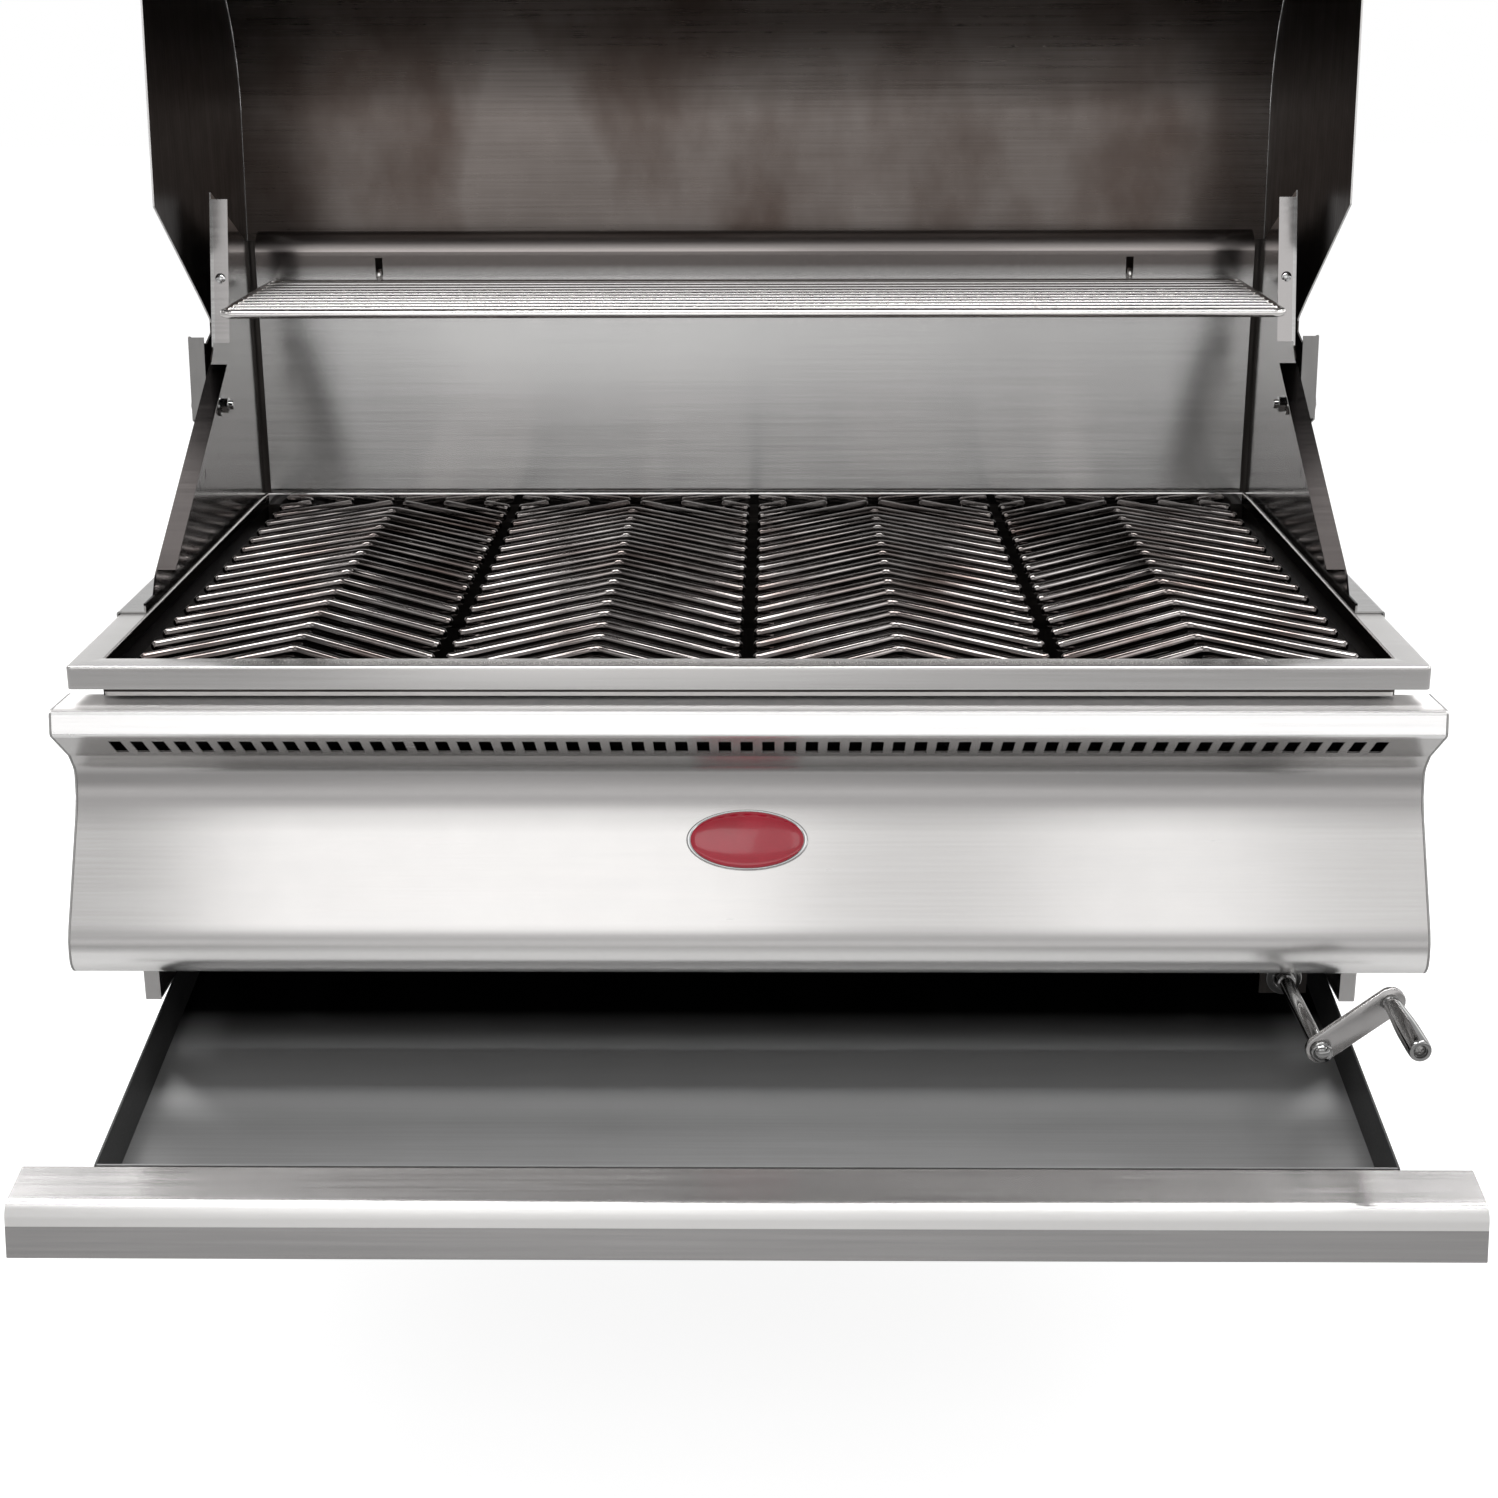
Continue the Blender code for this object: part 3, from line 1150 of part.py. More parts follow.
def build_slider(look, brass):
    """Two ramp plates joined by a bar, which the nut on the lift screw pulls along the rails."""
    bottom = RAIL_TOP + SEAT_GAP
    front = -PIN_SPREAD - RAMP_MARGIN
    rear = PIN_SPREAD + TRAY_LIFT + RAMP_MARGIN
    top = PIN_Z + TRAY_LIFT + RAMP_MARGIN
    for side in (-1, 1):
        outline = [
            (front, bottom),
            (rear, bottom),
            (rear, top),
            (PIN_SPREAD + TRAY_LIFT - RAMP_MARGIN, top),
            (PIN_SPREAD - RAMP_MARGIN, PIN_Z + RAMP_MARGIN),
            (-PIN_SPREAD + TRAY_LIFT + RAMP_MARGIN, PIN_Z + RAMP_MARGIN),
            (-PIN_SPREAD + TRAY_LIFT + RAMP_MARGIN, top),
            (-PIN_SPREAD + TRAY_LIFT - RAMP_MARGIN, top),
            (front, PIN_Z + RAMP_MARGIN),
        ]
        near, far = span(side, RAMP_X, RAMP_X + RAMP_SHEET)
        plate = piece(side_name(side, "ramp_plate"), prism(outline, "X", near, far), look)
        slots = bmesh.new()
        ramp_slot(-PIN_SPREAD, side, slots)
        ramp_slot(PIN_SPREAD, side, slots)
        cut(plate, side_name(side, "ramp_slots"), slots)
    reach = RAMP_X - SEAT_GAP
    low = (-reach, BAR_REACH, CRANK_Z - BAR_HEIGHT / 2)
    high = (reach, BAR_REACH + BAR_THICKNESS, CRANK_Z + BAR_HEIGHT / 2)
    bar = piece("slider_bar", block(low, high), look)
    hole = cylinder(
        SCREW_RADIUS + SEAT_GAP,
        "Y",
        (CRANK_X, CRANK_Z),
        BAR_REACH - OVERRUN,
        BAR_REACH + BAR_THICKNESS + OVERRUN,
    )
    cut(bar, "slider_bar_hole", hole)
    bore = SCREW_RADIUS + SEAT_GAP
    nut = block(
        (CRANK_X - NUT_SIZE / 2, BAR_REACH - SEAT_GAP - NUT_LENGTH, CRANK_Z - BAR_HEIGHT / 2),
        (CRANK_X + NUT_SIZE / 2, BAR_REACH - SEAT_GAP, CRANK_Z + NUT_SIZE / 2),
    )
    nut_piece = piece("lift_nut", nut, brass)
    bore_start = BAR_REACH - NUT_LENGTH - OVERRUN
    bore_cutter = cylinder(bore, "Y", (CRANK_X, CRANK_Z), bore_start, BAR_REACH + OVERRUN)
    cut(nut_piece, "lift_nut_bore", bore_cutter)


def build_crank(look, bright, brass):
    """The crank turns the lift screw, which runs from the front bearing to the rear wall."""
    bearing_face = FRONT_FACE_Y - BEARING_REACH
    arm_back = ARM_Y + CRANK_ARM_THICKNESS / 2
    arm_front = ARM_Y - CRANK_ARM_THICKNESS / 2
    screw_start = FRONT_FACE_Y + SCREW_SETBACK
    screw_end = INNER_Y - SEAT_GAP - REAR_BOSS_LENGTH - SHEET
    turn = pivot("crank_axis", (CRANK_X, 0, CRANK_Z), -CRANK_ANGLE, "Y")
    shaft = turned(
        [
            (0, arm_front - CRANK_STUB_LENGTH),
            (CRANK_STUB_RADIUS, arm_front - CRANK_STUB_LENGTH),
            (CRANK_STUB_RADIUS, arm_back + SEAT_GAP),
            (CRANK_SHAFT_RADIUS, arm_back + SEAT_GAP),
            (CRANK_SHAFT_RADIUS, screw_start),
            (SCREW_RADIUS, screw_start),
            (SCREW_RADIUS, screw_end),
            (SCREW_JOURNAL_RADIUS, screw_end),
            (SCREW_JOURNAL_RADIUS, screw_end + SCREW_JOURNAL_LENGTH),
            (0, screw_end + SCREW_JOURNAL_LENGTH),
        ],
        "Y",
        (0, 0),
        SMALL_SIDES,
    )
    piece("crank_shaft", shaft, bright, turn)
    radius = CRANK_ARM_END_RADIUS
    corners = [(-radius, -radius), (CRANK_RADIUS + radius, -radius)]
    corners += [(CRANK_RADIUS + radius, radius), (-radius, radius)]
    outline = rounded(corners, [radius * 0.98] * 4)
    arm = piece("crank_arm", prism(outline, "Y", arm_front, arm_back), bright, turn)
    holes = cylinder(
        CRANK_STUB_RADIUS + SEAT_GAP, "Y", (0, 0), arm_front - OVERRUN, arm_back + OVERRUN
    )
    cylinder(
        SPINDLE_RADIUS + SEAT_GAP,
        "Y",
        (CRANK_RADIUS, 0),
        arm_front - OVERRUN,
        arm_back + OVERRUN,
        bm=holes,
    )
    cut(arm, "crank_arm_holes", holes)
    nut_back = arm_front - SEAT_GAP
    nut_bore = CRANK_STUB_RADIUS + SEAT_GAP
    nut_floor = arm_front - CRANK_STUB_LENGTH - SEAT_GAP
    nut = [
        (0, nut_back - CRANK_NUT_HEIGHT),
        (CRANK_NUT_RADIUS * DOME_SHARES[0], nut_back - CRANK_NUT_HEIGHT * DOME_SHARES[1]),
        (CRANK_NUT_RADIUS, nut_back - CRANK_NUT_HEIGHT / 2),
        (CRANK_NUT_RADIUS, nut_back),
        (nut_bore, nut_back),
        (nut_bore, nut_floor),
        (0, nut_floor),
    ]
    piece("crank_nut", turned(nut, "Y", (0, 0), SMALL_SIDES), bright, turn)
    build_grip(turn, arm_front, arm_back, bright)
    build_bearings(bearing_face, look, brass)


def build_grip(turn, arm_front, arm_back, look):
    grip_start = arm_front - GRIP_PLAY
    grip_end = grip_start - GRIP_LENGTH
    tip = pivot("grip_axis", (CRANK_RADIUS, 0, 0), 0.0, "Y", turn)
    profile = [
        (GRIP_BORE, grip_start),
        (GRIP_NECK_RADIUS, grip_start),
        (GRIP_NECK_RADIUS, grip_start - GRIP_LENGTH * GRIP_SHARES[0]),
        (GRIP_RADIUS * GRIP_WAIST_SHARE, grip_start - GRIP_LENGTH * GRIP_SHARES[1]),
        (GRIP_RADIUS, grip_start - GRIP_LENGTH * GRIP_SHARES[2]),
        (GRIP_RADIUS, grip_start - GRIP_LENGTH * GRIP_SHARES[3]),
        (GRIP_END_RADIUS, grip_end),
        (GRIP_RECESS_RADIUS, grip_end),
        (GRIP_RECESS_RADIUS, grip_end + GRIP_RECESS),
        (GRIP_BORE, grip_end + GRIP_RECESS),
    ]
    piece("crank_grip", turned(profile, "Y", (0, 0), ROUND_SIDES, closed=True), look, tip)
    head_back = grip_end + GRIP_RECESS - SEAT_GAP
    spindle = [
        (0, head_back - SPINDLE_HEAD),
        (SPINDLE_HEAD_RADIUS, head_back - SPINDLE_HEAD),
        (SPINDLE_HEAD_RADIUS, head_back),
        (SPINDLE_RADIUS, head_back),
        (SPINDLE_RADIUS, arm_back + SEAT_GAP),
        (SPINDLE_HEAD_RADIUS, arm_back + SEAT_GAP),
        (SPINDLE_HEAD_RADIUS, arm_back + SEAT_GAP + SPINDLE_HEAD),
        (0, arm_back + SEAT_GAP + SPINDLE_HEAD),
    ]
    piece("grip_spindle", turned(spindle, "Y", (0, 0), SMALL_SIDES), look, tip)


def build_bearings(face, look, brass):
    """A bracket on the firebox's front wall holds the flanged bush, and a boss holds the screw's end."""
    wall = FRONT_FACE_Y - SEAT_GAP
    leg = face - SEAT_GAP
    shelf = CRANK_Z + BRACKET_RISE
    outline = sheet(
        [
            (leg, CRANK_Z - BRACKET_DROP),
            (leg, shelf),
            (wall - BRACKET_SHEET, shelf),
            (wall - BRACKET_SHEET, shelf + BRACKET_FOOT),
        ],
        [0, BEND_RADIUS, BEND_RADIUS / 4, 0],
        -BRACKET_SHEET,
    )
    near = CRANK_X - BRACKET_WIDTH / 2
    bracket = piece("crank_bracket", prism(outline, "X", near, near + BRACKET_WIDTH), look)
    hole = cylinder(
        BEARING_NECK_RADIUS + SEAT_GAP, "Y", (CRANK_X, CRANK_Z), leg - OVERRUN, leg + OVERRUN
    )
    cut(bracket, "crank_bracket_hole", hole)
    bore = CRANK_SHAFT_RADIUS + SEAT_GAP
    flange_back = leg - SEAT_GAP
    profile = [
        (bore, flange_back - BEARING_FLANGE),
        (BEARING_FLANGE_RADIUS, flange_back - BEARING_FLANGE),
        (BEARING_FLANGE_RADIUS, flange_back),
        (BEARING_NECK_RADIUS, flange_back),
        (BEARING_NECK_RADIUS, flange_back + BEARING_NECK),
        (bore, flange_back + BEARING_NECK),
    ]
    piece("crank_bearing", turned(profile, "Y", (CRANK_X, CRANK_Z), closed=True), brass)
    end = INNER_Y - SEAT_GAP
    start = end - REAR_BOSS_LENGTH
    bore = SCREW_JOURNAL_RADIUS + SEAT_GAP
    profile = [
        (0, end),
        (REAR_BOSS_RADIUS, end),
        (REAR_BOSS_RADIUS, start),
        (bore, start),
        (bore, end - REAR_BOSS_FLOOR),
        (0, end - REAR_BOSS_FLOOR),
    ]
    piece("screw_rear_bearing", turned(profile, "Y", (CRANK_X, CRANK_Z)), look)


def build_rails(look):
    """Channels on the firebox walls: the ramp plates slide on top, the drawer's glides run inside."""
    wall = INNER_X - SEAT_GAP
    points = [
        (INNER_X - RAIL_UPPER_REACH, RAIL_TOP),
        (wall, RAIL_TOP),
        (wall, BOX_BOTTOM),
        (INNER_X - RAIL_LOWER_REACH, BOX_BOTTOM),
    ]
    outline = sheet(points, [0, BEND_RADIUS / 2, BEND_RADIUS / 2, 0], -SHEET)
    start = -INNER_Y + RAIL_FRONT_CLEARANCE
    for side in (-1, 1):
        bm = prism(mirrored(outline, side), "Y", start, INNER_Y - RAIL_REAR_CLEARANCE)
        piece(side_name(side, "drawer_rail"), bm, look)


def build_drawer(look, dark):
    """The ash drawer turns on its rear axle, so its front drops when it is pulled out."""
    axle = pivot("drawer_axle_line", (0, AXLE_Y, AXLE_Z))
    glide_end = INNER_X - SHEET - SEAT_GAP - GLIDE_SIDE_CLEARANCE
    glide_start = glide_end - GLIDE_WIDTH
    axle_end = glide_end - SEAT_GAP
    piece("drawer_axle", cylinder(AXLE_RADIUS, "X", (0, 0), -axle_end, axle_end, SMALL_SIDES), dark, axle)
    for side in (-1, 1):
        near, far = span(side, glide_start, glide_end)
        bm = cylinder(GLIDE_RADIUS, "X", (0, 0), near, far)
        glide = piece(side_name(side, "drawer_glide"), bm, dark, axle)
        near, far = span(side, glide_start - OVERRUN, glide_end + OVERRUN)
        bore = cylinder(AXLE_RADIUS + SEAT_GAP, "X", (0, 0), near, far, SMALL_SIDES)
        cut(glide, side_name(side, "glide_bore"), bore)
    droop = pivot("drawer_droop_line", (0, 0, 0), DRAWER_DROOP, "X", axle)
    top = DRAWER_TOP - AXLE_Z
    bottom = top - DRAWER_TRAY_HEIGHT
    front = -DRAWER_TRAY_DEPTH + SEAT_GAP
    low = (-DRAWER_X, front, bottom)
    high = (DRAWER_X, DRAWER_TAIL, top)
    tray = piece("drawer_tray", block(low, high), dark, droop)
    inner_x = DRAWER_X - SHEET
    low = (-inner_x, front + SHEET, bottom + SHEET)
    high = (inner_x, -DRAWER_EAR, top + OVERRUN)
    cut(tray, "drawer_hollow", block(low, high))
    low = (-inner_x, -DRAWER_EAR + SHEET, bottom - OVERRUN)
    high = (inner_x, DRAWER_TAIL + OVERRUN, top + OVERRUN)
    cut(tray, "drawer_rear_space", block(low, high))
    low = (-DRAWER_X - OVERRUN, -DRAWER_EAR + SHEET, bottom - OVERRUN)
    high = (DRAWER_X + OVERRUN, DRAWER_TAIL + OVERRUN, -GLIDE_RADIUS)
    cut(tray, "drawer_ear_foot", block(low, high))
    reach = DRAWER_X + OVERRUN
    bore = cylinder(AXLE_RADIUS + SEAT_GAP, "X", (0, 0), -reach, reach, SMALL_SIDES)
    cut(tray, "drawer_axle_holes", bore)
    back = front - SEAT_GAP
    nose = back - DRAWER_FRONT_DEPTH
    toe = nose - DRAWER_FRONT_LEAN
    foot = top - DRAWER_FRONT_HEIGHT
    path = [
        (back, top - DRAWER_BACK_FLANGE),
        (back, top),
        (nose, top),
        (toe, foot),
        (toe + DRAWER_FRONT_HEM, foot),
    ]
    radii = [0, BEND_RADIUS / 2, DRAWER_FRONT_RADIUS, BEND_RADIUS / 2, 0]
    outline = sheet(path, radii, SHEET)
    half = RIM_X + PANEL_OVERHANG
    piece("drawer_front", prism(outline, "X", -half, half), look, droop)


def build_grill():
    steel = material("brushed_steel", (0.62, 0.61, 0.60), 1.0, 0.32)
    mirror = material("polished_steel", (0.55, 0.54, 0.53), 1.0, 0.2)
    heated = material("heat_stained_steel", (0.16, 0.14, 0.13), 1.0, 0.34)
    dark = material("shaded_steel", (0.3, 0.3, 0.3), 1.0, 0.4)
    rods = material("grate_steel", (0.42, 0.39, 0.37), 1.0, 0.24)
    chrome = material("chrome", (0.72, 0.72, 0.72), 1.0, 0.1)
    red = material("red_enamel", (0.42, 0.01, 0.03), 0.0, 0.15)
    brass = material("bronze", (0.42, 0.32, 0.2), 1.0, 0.35)
    black = material("black_paint", (0.03, 0.03, 0.03), 0.0, 0.4)
    build_rim(steel)
    build_firebox(dark)
    for side in (-1, 1):
        build_side_wall(side, mirror, chrome)
    build_back_wall(steel)
    build_front_panel(steel, dark)
    build_badge(red)
    build_grates(rods)
    build_rack(chrome)
    build_hood(steel, heated, chrome, black)
    build_tray(dark)
    build_guides(dark)
    build_slider(dark, brass)
    build_crank(steel, chrome, brass)
    build_rails(dark)
    build_drawer(steel, dark)


clear_scene()
build_grill()
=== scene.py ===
"""Looks of the built-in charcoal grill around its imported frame, in metres, +Z up, front towards -Y."""

import math

import bmesh
import bpy
from mathutils import Matrix, Vector


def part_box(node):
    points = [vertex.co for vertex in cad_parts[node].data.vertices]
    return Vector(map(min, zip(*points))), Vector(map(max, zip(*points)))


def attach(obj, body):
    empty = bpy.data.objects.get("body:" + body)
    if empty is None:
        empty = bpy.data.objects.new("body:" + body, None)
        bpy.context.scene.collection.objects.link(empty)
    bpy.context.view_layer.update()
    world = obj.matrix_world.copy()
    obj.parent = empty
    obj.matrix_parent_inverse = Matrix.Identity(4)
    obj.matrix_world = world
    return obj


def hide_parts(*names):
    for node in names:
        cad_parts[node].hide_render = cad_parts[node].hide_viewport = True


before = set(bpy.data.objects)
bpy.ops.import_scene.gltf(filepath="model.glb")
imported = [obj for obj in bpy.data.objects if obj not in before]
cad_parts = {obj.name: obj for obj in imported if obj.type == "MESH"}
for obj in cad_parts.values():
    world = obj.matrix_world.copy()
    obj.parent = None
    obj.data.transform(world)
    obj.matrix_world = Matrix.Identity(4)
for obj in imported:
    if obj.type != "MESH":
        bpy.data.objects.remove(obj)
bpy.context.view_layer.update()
MM = 0.001

# Sizes shared with the part's source
RIM_X = 501 * MM
RIM_Y = 316 * MM
RIM_TOP = 17.5 * MM
RIM_BAND = 23 * MM
RIM_LIP = 12 * MM
SHEET = 1.5 * MM
GAP = 0.3 * MM
WINDOW_X = RIM_X - RIM_BAND
WINDOW_Y = RIM_Y - RIM_BAND
BACK_FACE_Y = WINDOW_Y - 1 * MM
SIDE_X = WINDOW_X + SHEET
GRATE_COUNT = 4
GRATE_WIDTH = 222 * MM
GRATE_PITCH = 233 * MM
GRATE_Y = WINDOW_Y - 6 * MM
ROD_RADIUS = 4.75 * MM
ROD_Z = RIM_TOP - 6 * MM - ROD_RADIUS
ROD_STEP = 35 * MM
FIRST_APEX = 19.6 * MM
ROD_SLOPE = math.tan(math.radians(41.3))
ROD_BEND = 10 * MM
BAR_TOP = ROD_Z - ROD_RADIUS + 1.2 * MM
BAR_BOTTOM = BAR_TOP - 12.2 * MM
BAR_WIDTH = 4 * MM
BAR_INSET_X = 12 * MM
BAR_INSET_Y = 1.2 * MM
RACK_ROD = 3.7 * MM
RACK_WIRE = 1.75 * MM
HOOK_ROD = 2.5 * MM
SIDE_FLANGE = 14.5 * MM
RACK_CLEARANCE = 2.5 * MM
RACK_Z = RIM_TOP + 203.5 * MM
RACK_X = SIDE_X - SIDE_FLANGE - RACK_CLEARANCE - RACK_ROD
RACK_REAR = BACK_FACE_Y - GAP - RACK_ROD
RACK_FRONT = RACK_REAR + RACK_ROD - 217.5 * MM
HOOK_X = 357 * MM
HOOK_Z = RIM_TOP + 211 * MM + HOOK_ROD + GAP
HINGE = Vector((0, 130 * MM, 132.5 * MM))
HOOD_OPEN = math.radians(95)
FACE_NORMAL = Vector((0, 0.204108, 0.978948))
HANDLE_SPOT = Vector((0, 145.61 * MM, 563.32 * MM))
GAUGE_SPOT = Vector((0, 214.62 * MM, 548.93 * MM))
CRANK_AXIS = Vector((410 * MM, 0, -230.5 * MM))
CRANK_TURN = math.radians(38.2)
CRANK_REACH = 60 * MM
ARM_FRONT = -440.5 * MM
ARM_BACK = -435.5 * MM
BADGE_SPOT = Vector((0, -304.31 * MM, -122.5 * MM))
BADGE_OUT = Vector((0, -0.8676, 0.4973))
SHELL_X = 473.8 * MM
SHELL_Y = 280.6 * MM
SHELL_LEG = 220 * MM
COLLAR_X = 480.5 * MM
COLLAR_Y = 295.5 * MM
COLLAR_DROP = 7.8 * MM
STEP_UNDER = 11.2 * MM
LIP_X = WINDOW_X + 0.5 * MM
LIP_Y = WINDOW_Y + 0.5 * MM
TRAY_X = 458.8 * MM
FLANGE_X = 477.8 * MM
FLANGE_Z = 24 * MM
NOTCH_Z = 186 * MM
TAB_Y = 170 * MM
TAB_Z = 195 * MM
HOOD_MIDDLE = (0, 0.2, 0.3)

# Signs of the sides, and of each quadrant with the angle at which its arc starts
SIDES = {"left": -1, "right": 1}
QUADRANTS = ((1, 1, 0), (-1, 1, 90), (-1, -1, 180), (1, -1, 270))
RIGHT = Vector((1, 0, 0))
UP = Vector((0, 0, 1))

# Limits of the sheets' bands of painted light and shade. Each FADE is the place where its colour is clear, then
# where it is full
PANEL_FLANGE = (-14.5 * MM, -338.5 * MM)
PANEL_BACK = (-284.2 * MM, -16 * MM)
PANEL_NOSE = (-332.5 * MM, -32.5 * MM)
SHELF_FADE = (-318 * MM, -331 * MM)
SWEEP_FADES = ((-118 * MM, -94 * MM), (-66 * MM, -76 * MM))
BULGE_FADE = (-178 * MM, -188 * MM)
BOTTOM_FADE = (-194 * MM, -200 * MM)
DRAWER_BEND = (-307.2 * MM, -321 * MM, -500 * MM)
BACK_FADE = (222 * MM, 238 * MM)
BACK_ROLL = 250 * MM
TRAY_FRONT_FADE = (-380 * MM, -330 * MM)
TRAY_REAR_FADE = (-290 * MM, -230 * MM)


# Materials
def nodes_of(name):
    made = bpy.data.materials.new(name)
    made.use_nodes = True
    tree = made.node_tree
    return made, tree, tree.nodes["Principled BSDF"]


def add(tree, kind, **values):
    node = tree.nodes.new(kind)
    for key, value in values.items():
        setattr(node, key, value)
    return node


def noise(tree, scale, detail, stretch=(1, 1, 1)):
    """Noise in the part's own frame, stretched where a stretch is below one."""
    place = add(tree, "ShaderNodeTexCoord")
    mapping = add(tree, "ShaderNodeMapping")
    mapping.inputs["Scale"].default_value = stretch
    made = add(tree, "ShaderNodeTexNoise")
    made.inputs["Scale"].default_value = scale
    made.inputs["Detail"].default_value = detail
    tree.links.new(place.outputs["Object"], mapping.inputs["Vector"])
    tree.links.new(mapping.outputs["Vector"], made.inputs["Vector"])
    return made.outputs["Fac"]


def ranged(tree, source, low, high, start=0.3, end=0.7):
    made = add(tree, "ShaderNodeMapRange")
    made.inputs["From Min"].default_value = start
    made.inputs["From Max"].default_value = end
    made.inputs["To Min"].default_value = low
    made.inputs["To Max"].default_value = high
    tree.links.new(source, made.inputs["Value"])
    return made.outputs["Result"]


def summed(tree, first, second, operation="ADD"):
    """Two values or sockets, added or joined by another operation."""
    made = add(tree, "ShaderNodeMath", operation=operation)
    for socket, value in zip(made.inputs, (first, second)):
        if isinstance(value, (int, float)):
            socket.default_value = value
        else:
            tree.links.new(value, socket)
    return made.outputs["Value"]


def blended(tree, factor, first, second):
    made = add(tree, "ShaderNodeMix", data_type="RGBA")
    tree.links.new(factor, made.inputs["Factor"])
    for socket, value in ((made.inputs[6], first), (made.inputs[7], second)):
        if isinstance(value, tuple):
            socket.default_value = (*value, 1)
        else:
            tree.links.new(value, socket)
    return made.outputs[2]


def embossed(tree, shader, height, strength, depth):
    raised = add(tree, "ShaderNodeBump")
    raised.inputs["Strength"].default_value = strength
    raised.inputs["Distance"].default_value = depth
    tree.links.new(height, raised.inputs["Height"])
    tree.links.new(raised.outputs["Normal"], shader.inputs["Normal"])


def metal(name, dark, light, rough, spread, grain, aniso, bump, stain=None, clouds=0.45):
    """Metal with grain along one axis, cloudy tint, smudged gloss and an optional stain colour."""
    made, tree, shader = nodes_of(name)
    streak = noise(tree, 22, 4, grain)
    fine = noise(tree, 90, 2, grain)
    cloud = noise(tree, 5.5, 4)
    smudge = noise(tree, 38, 3)
    tone = summed(tree, ranged(tree, streak, 0, 1 - clouds), ranged(tree, cloud, 0, clouds))
    colour = blended(tree, tone, dark, light)
    if stain:
        patch = ranged(tree, noise(tree, 9, 6, (1, 1, 0.6)), 0, 0.8, 0.45, 0.68)
        colour = blended(tree, patch, colour, stain)
    tree.links.new(colour, shader.inputs["Base Color"])
    smear = spread * clouds
    gloss = summed(tree, ranged(tree, streak, -spread, spread), ranged(tree, smudge, -smear, smear))
    tree.links.new(summed(tree, gloss, rough), shader.inputs["Roughness"])
    shader.inputs["Metallic"].default_value = 1
    embossed(tree, shader, fine, bump, 0.2 * MM)
    if aniso:
        shader.inputs["Anisotropic"].default_value = aniso
        shader.inputs["Anisotropic Rotation"].default_value = 0.25
        along = add(tree, "ShaderNodeCombineXYZ")
        along.inputs["X"].default_value = 1
        tree.links.new(along.outputs["Vector"], shader.inputs["Tangent"])
    return made


def placed(tree, axis, source="Object"):
    """One coordinate of a texture source: the place, the normal or, in the world, the direction."""
    place = add(tree, "ShaderNodeTexCoord")
    split = add(tree, "ShaderNodeSeparateXYZ")
    tree.links.new(place.outputs[source], split.inputs["Vector"])
    return split.outputs[axis]


def above(axis, place, source="Object"):
    return axis, "GREATER_THAN", place, source


def below(axis, place, source="Object"):
    return axis, "LESS_THAN", place, source


def mask(tree, joined, *tests):
    """One where the tests from above and below hold: any of them for MAXIMUM, all of them for MINIMUM."""
    total = None
    for axis, operation, place, source in tests:
        passed = summed(tree, placed(tree, axis, source), place, operation)
        total = summed(tree, total, passed, joined) if total else passed
    return total


def outward(tree, centre):
    """One on faces that look away from a centre, which lies in the hood's room."""
    place = add(tree, "ShaderNodeTexCoord")
    arm = add(tree, "ShaderNodeVectorMath", operation="SUBTRACT")
    tree.links.new(place.outputs["Object"], arm.inputs[0])
    arm.inputs[1].default_value = centre
    dot = add(tree, "ShaderNodeVectorMath", operation="DOT_PRODUCT")
    tree.links.new(arm.outputs["Vector"], dot.inputs[0])
    tree.links.new(place.outputs["Normal"], dot.inputs[1])
    return summed(tree, dot.outputs["Value"], 0, "GREATER_THAN")


def recoloured(made, factor, colour):
    tree = made.node_tree
    shader = tree.nodes["Principled BSDF"]
    under = shader.inputs["Base Color"].links[0].from_socket
    tree.links.new(blended(tree, factor, under, colour), shader.inputs["Base Color"])


def reglossed(made, factor, rough):
    tree = made.node_tree
    shader = tree.nodes["Principled BSDF"]
    mixed = add(tree, "ShaderNodeMix", data_type="FLOAT")
    tree.links.new(factor, mixed.inputs["Factor"])
    tree.links.new(shader.inputs["Roughness"].links[0].from_socket, mixed.inputs[2])
    mixed.inputs[3].default_value = rough
    tree.links.new(mixed.outputs[0], shader.inputs["Roughness"])


def dyed(made, colour, *tests):
    """The colour where all the tests hold."""
    recoloured(made, mask(made.node_tree, "MINIMUM", *tests), colour)


def faded(made, colour, axis, clear, full):
    """The colour, which is absent at one place along an axis and full at the other."""
    tree = made.node_tree
    recoloured(made, ranged(tree, placed(tree, axis), 0, 1, clear, full), colour)


def paint(name, dark, light, rough, coat=0.0):
    """Enamel, paint or plastic with cloudy colour, uneven gloss and a faint orange-peel relief."""
    made, tree, shader = nodes_of(name)
    cloud = noise(tree, 30, 4)
    uneven = noise(tree, 60, 3)
    peel = noise(tree, 600, 2)
    tree.links.new(blended(tree, ranged(tree, cloud, 0, 1), dark, light), shader.inputs["Base Color"])
    tree.links.new(ranged(tree, uneven, rough * 0.7, rough * 1.3), shader.inputs["Roughness"])
    shader.inputs["Coat Weight"].default_value = coat
    shader.inputs["Coat Roughness"].default_value = 0.05
    embossed(tree, shader, peel, 0.04, 0.1 * MM)
    return made


# Grain, as the stretch of its noise along X, Y and Z
ALONG_X = (0.25, 22, 22)
ALONG_Z = (22, 22, 0.25)
EVEN = (2, 2, 2)

# Spread of gloss, grain, anisotropy and relief of the outer sheets, and the share of clouds in their tint
BRUSHED = (0.02, ALONG_X, 0.7, 0.01)
CALM = 0.25
# Near-black steel: real soot in the firebox and on the charcoal tray, and painted shade where parts sit in
# shade
SOOT_AND_SHADE = ((0.035, 0.032, 0.03), (0.075, 0.068, 0.064))
SOOT_STAIN = (0.02, 0.017, 0.016)

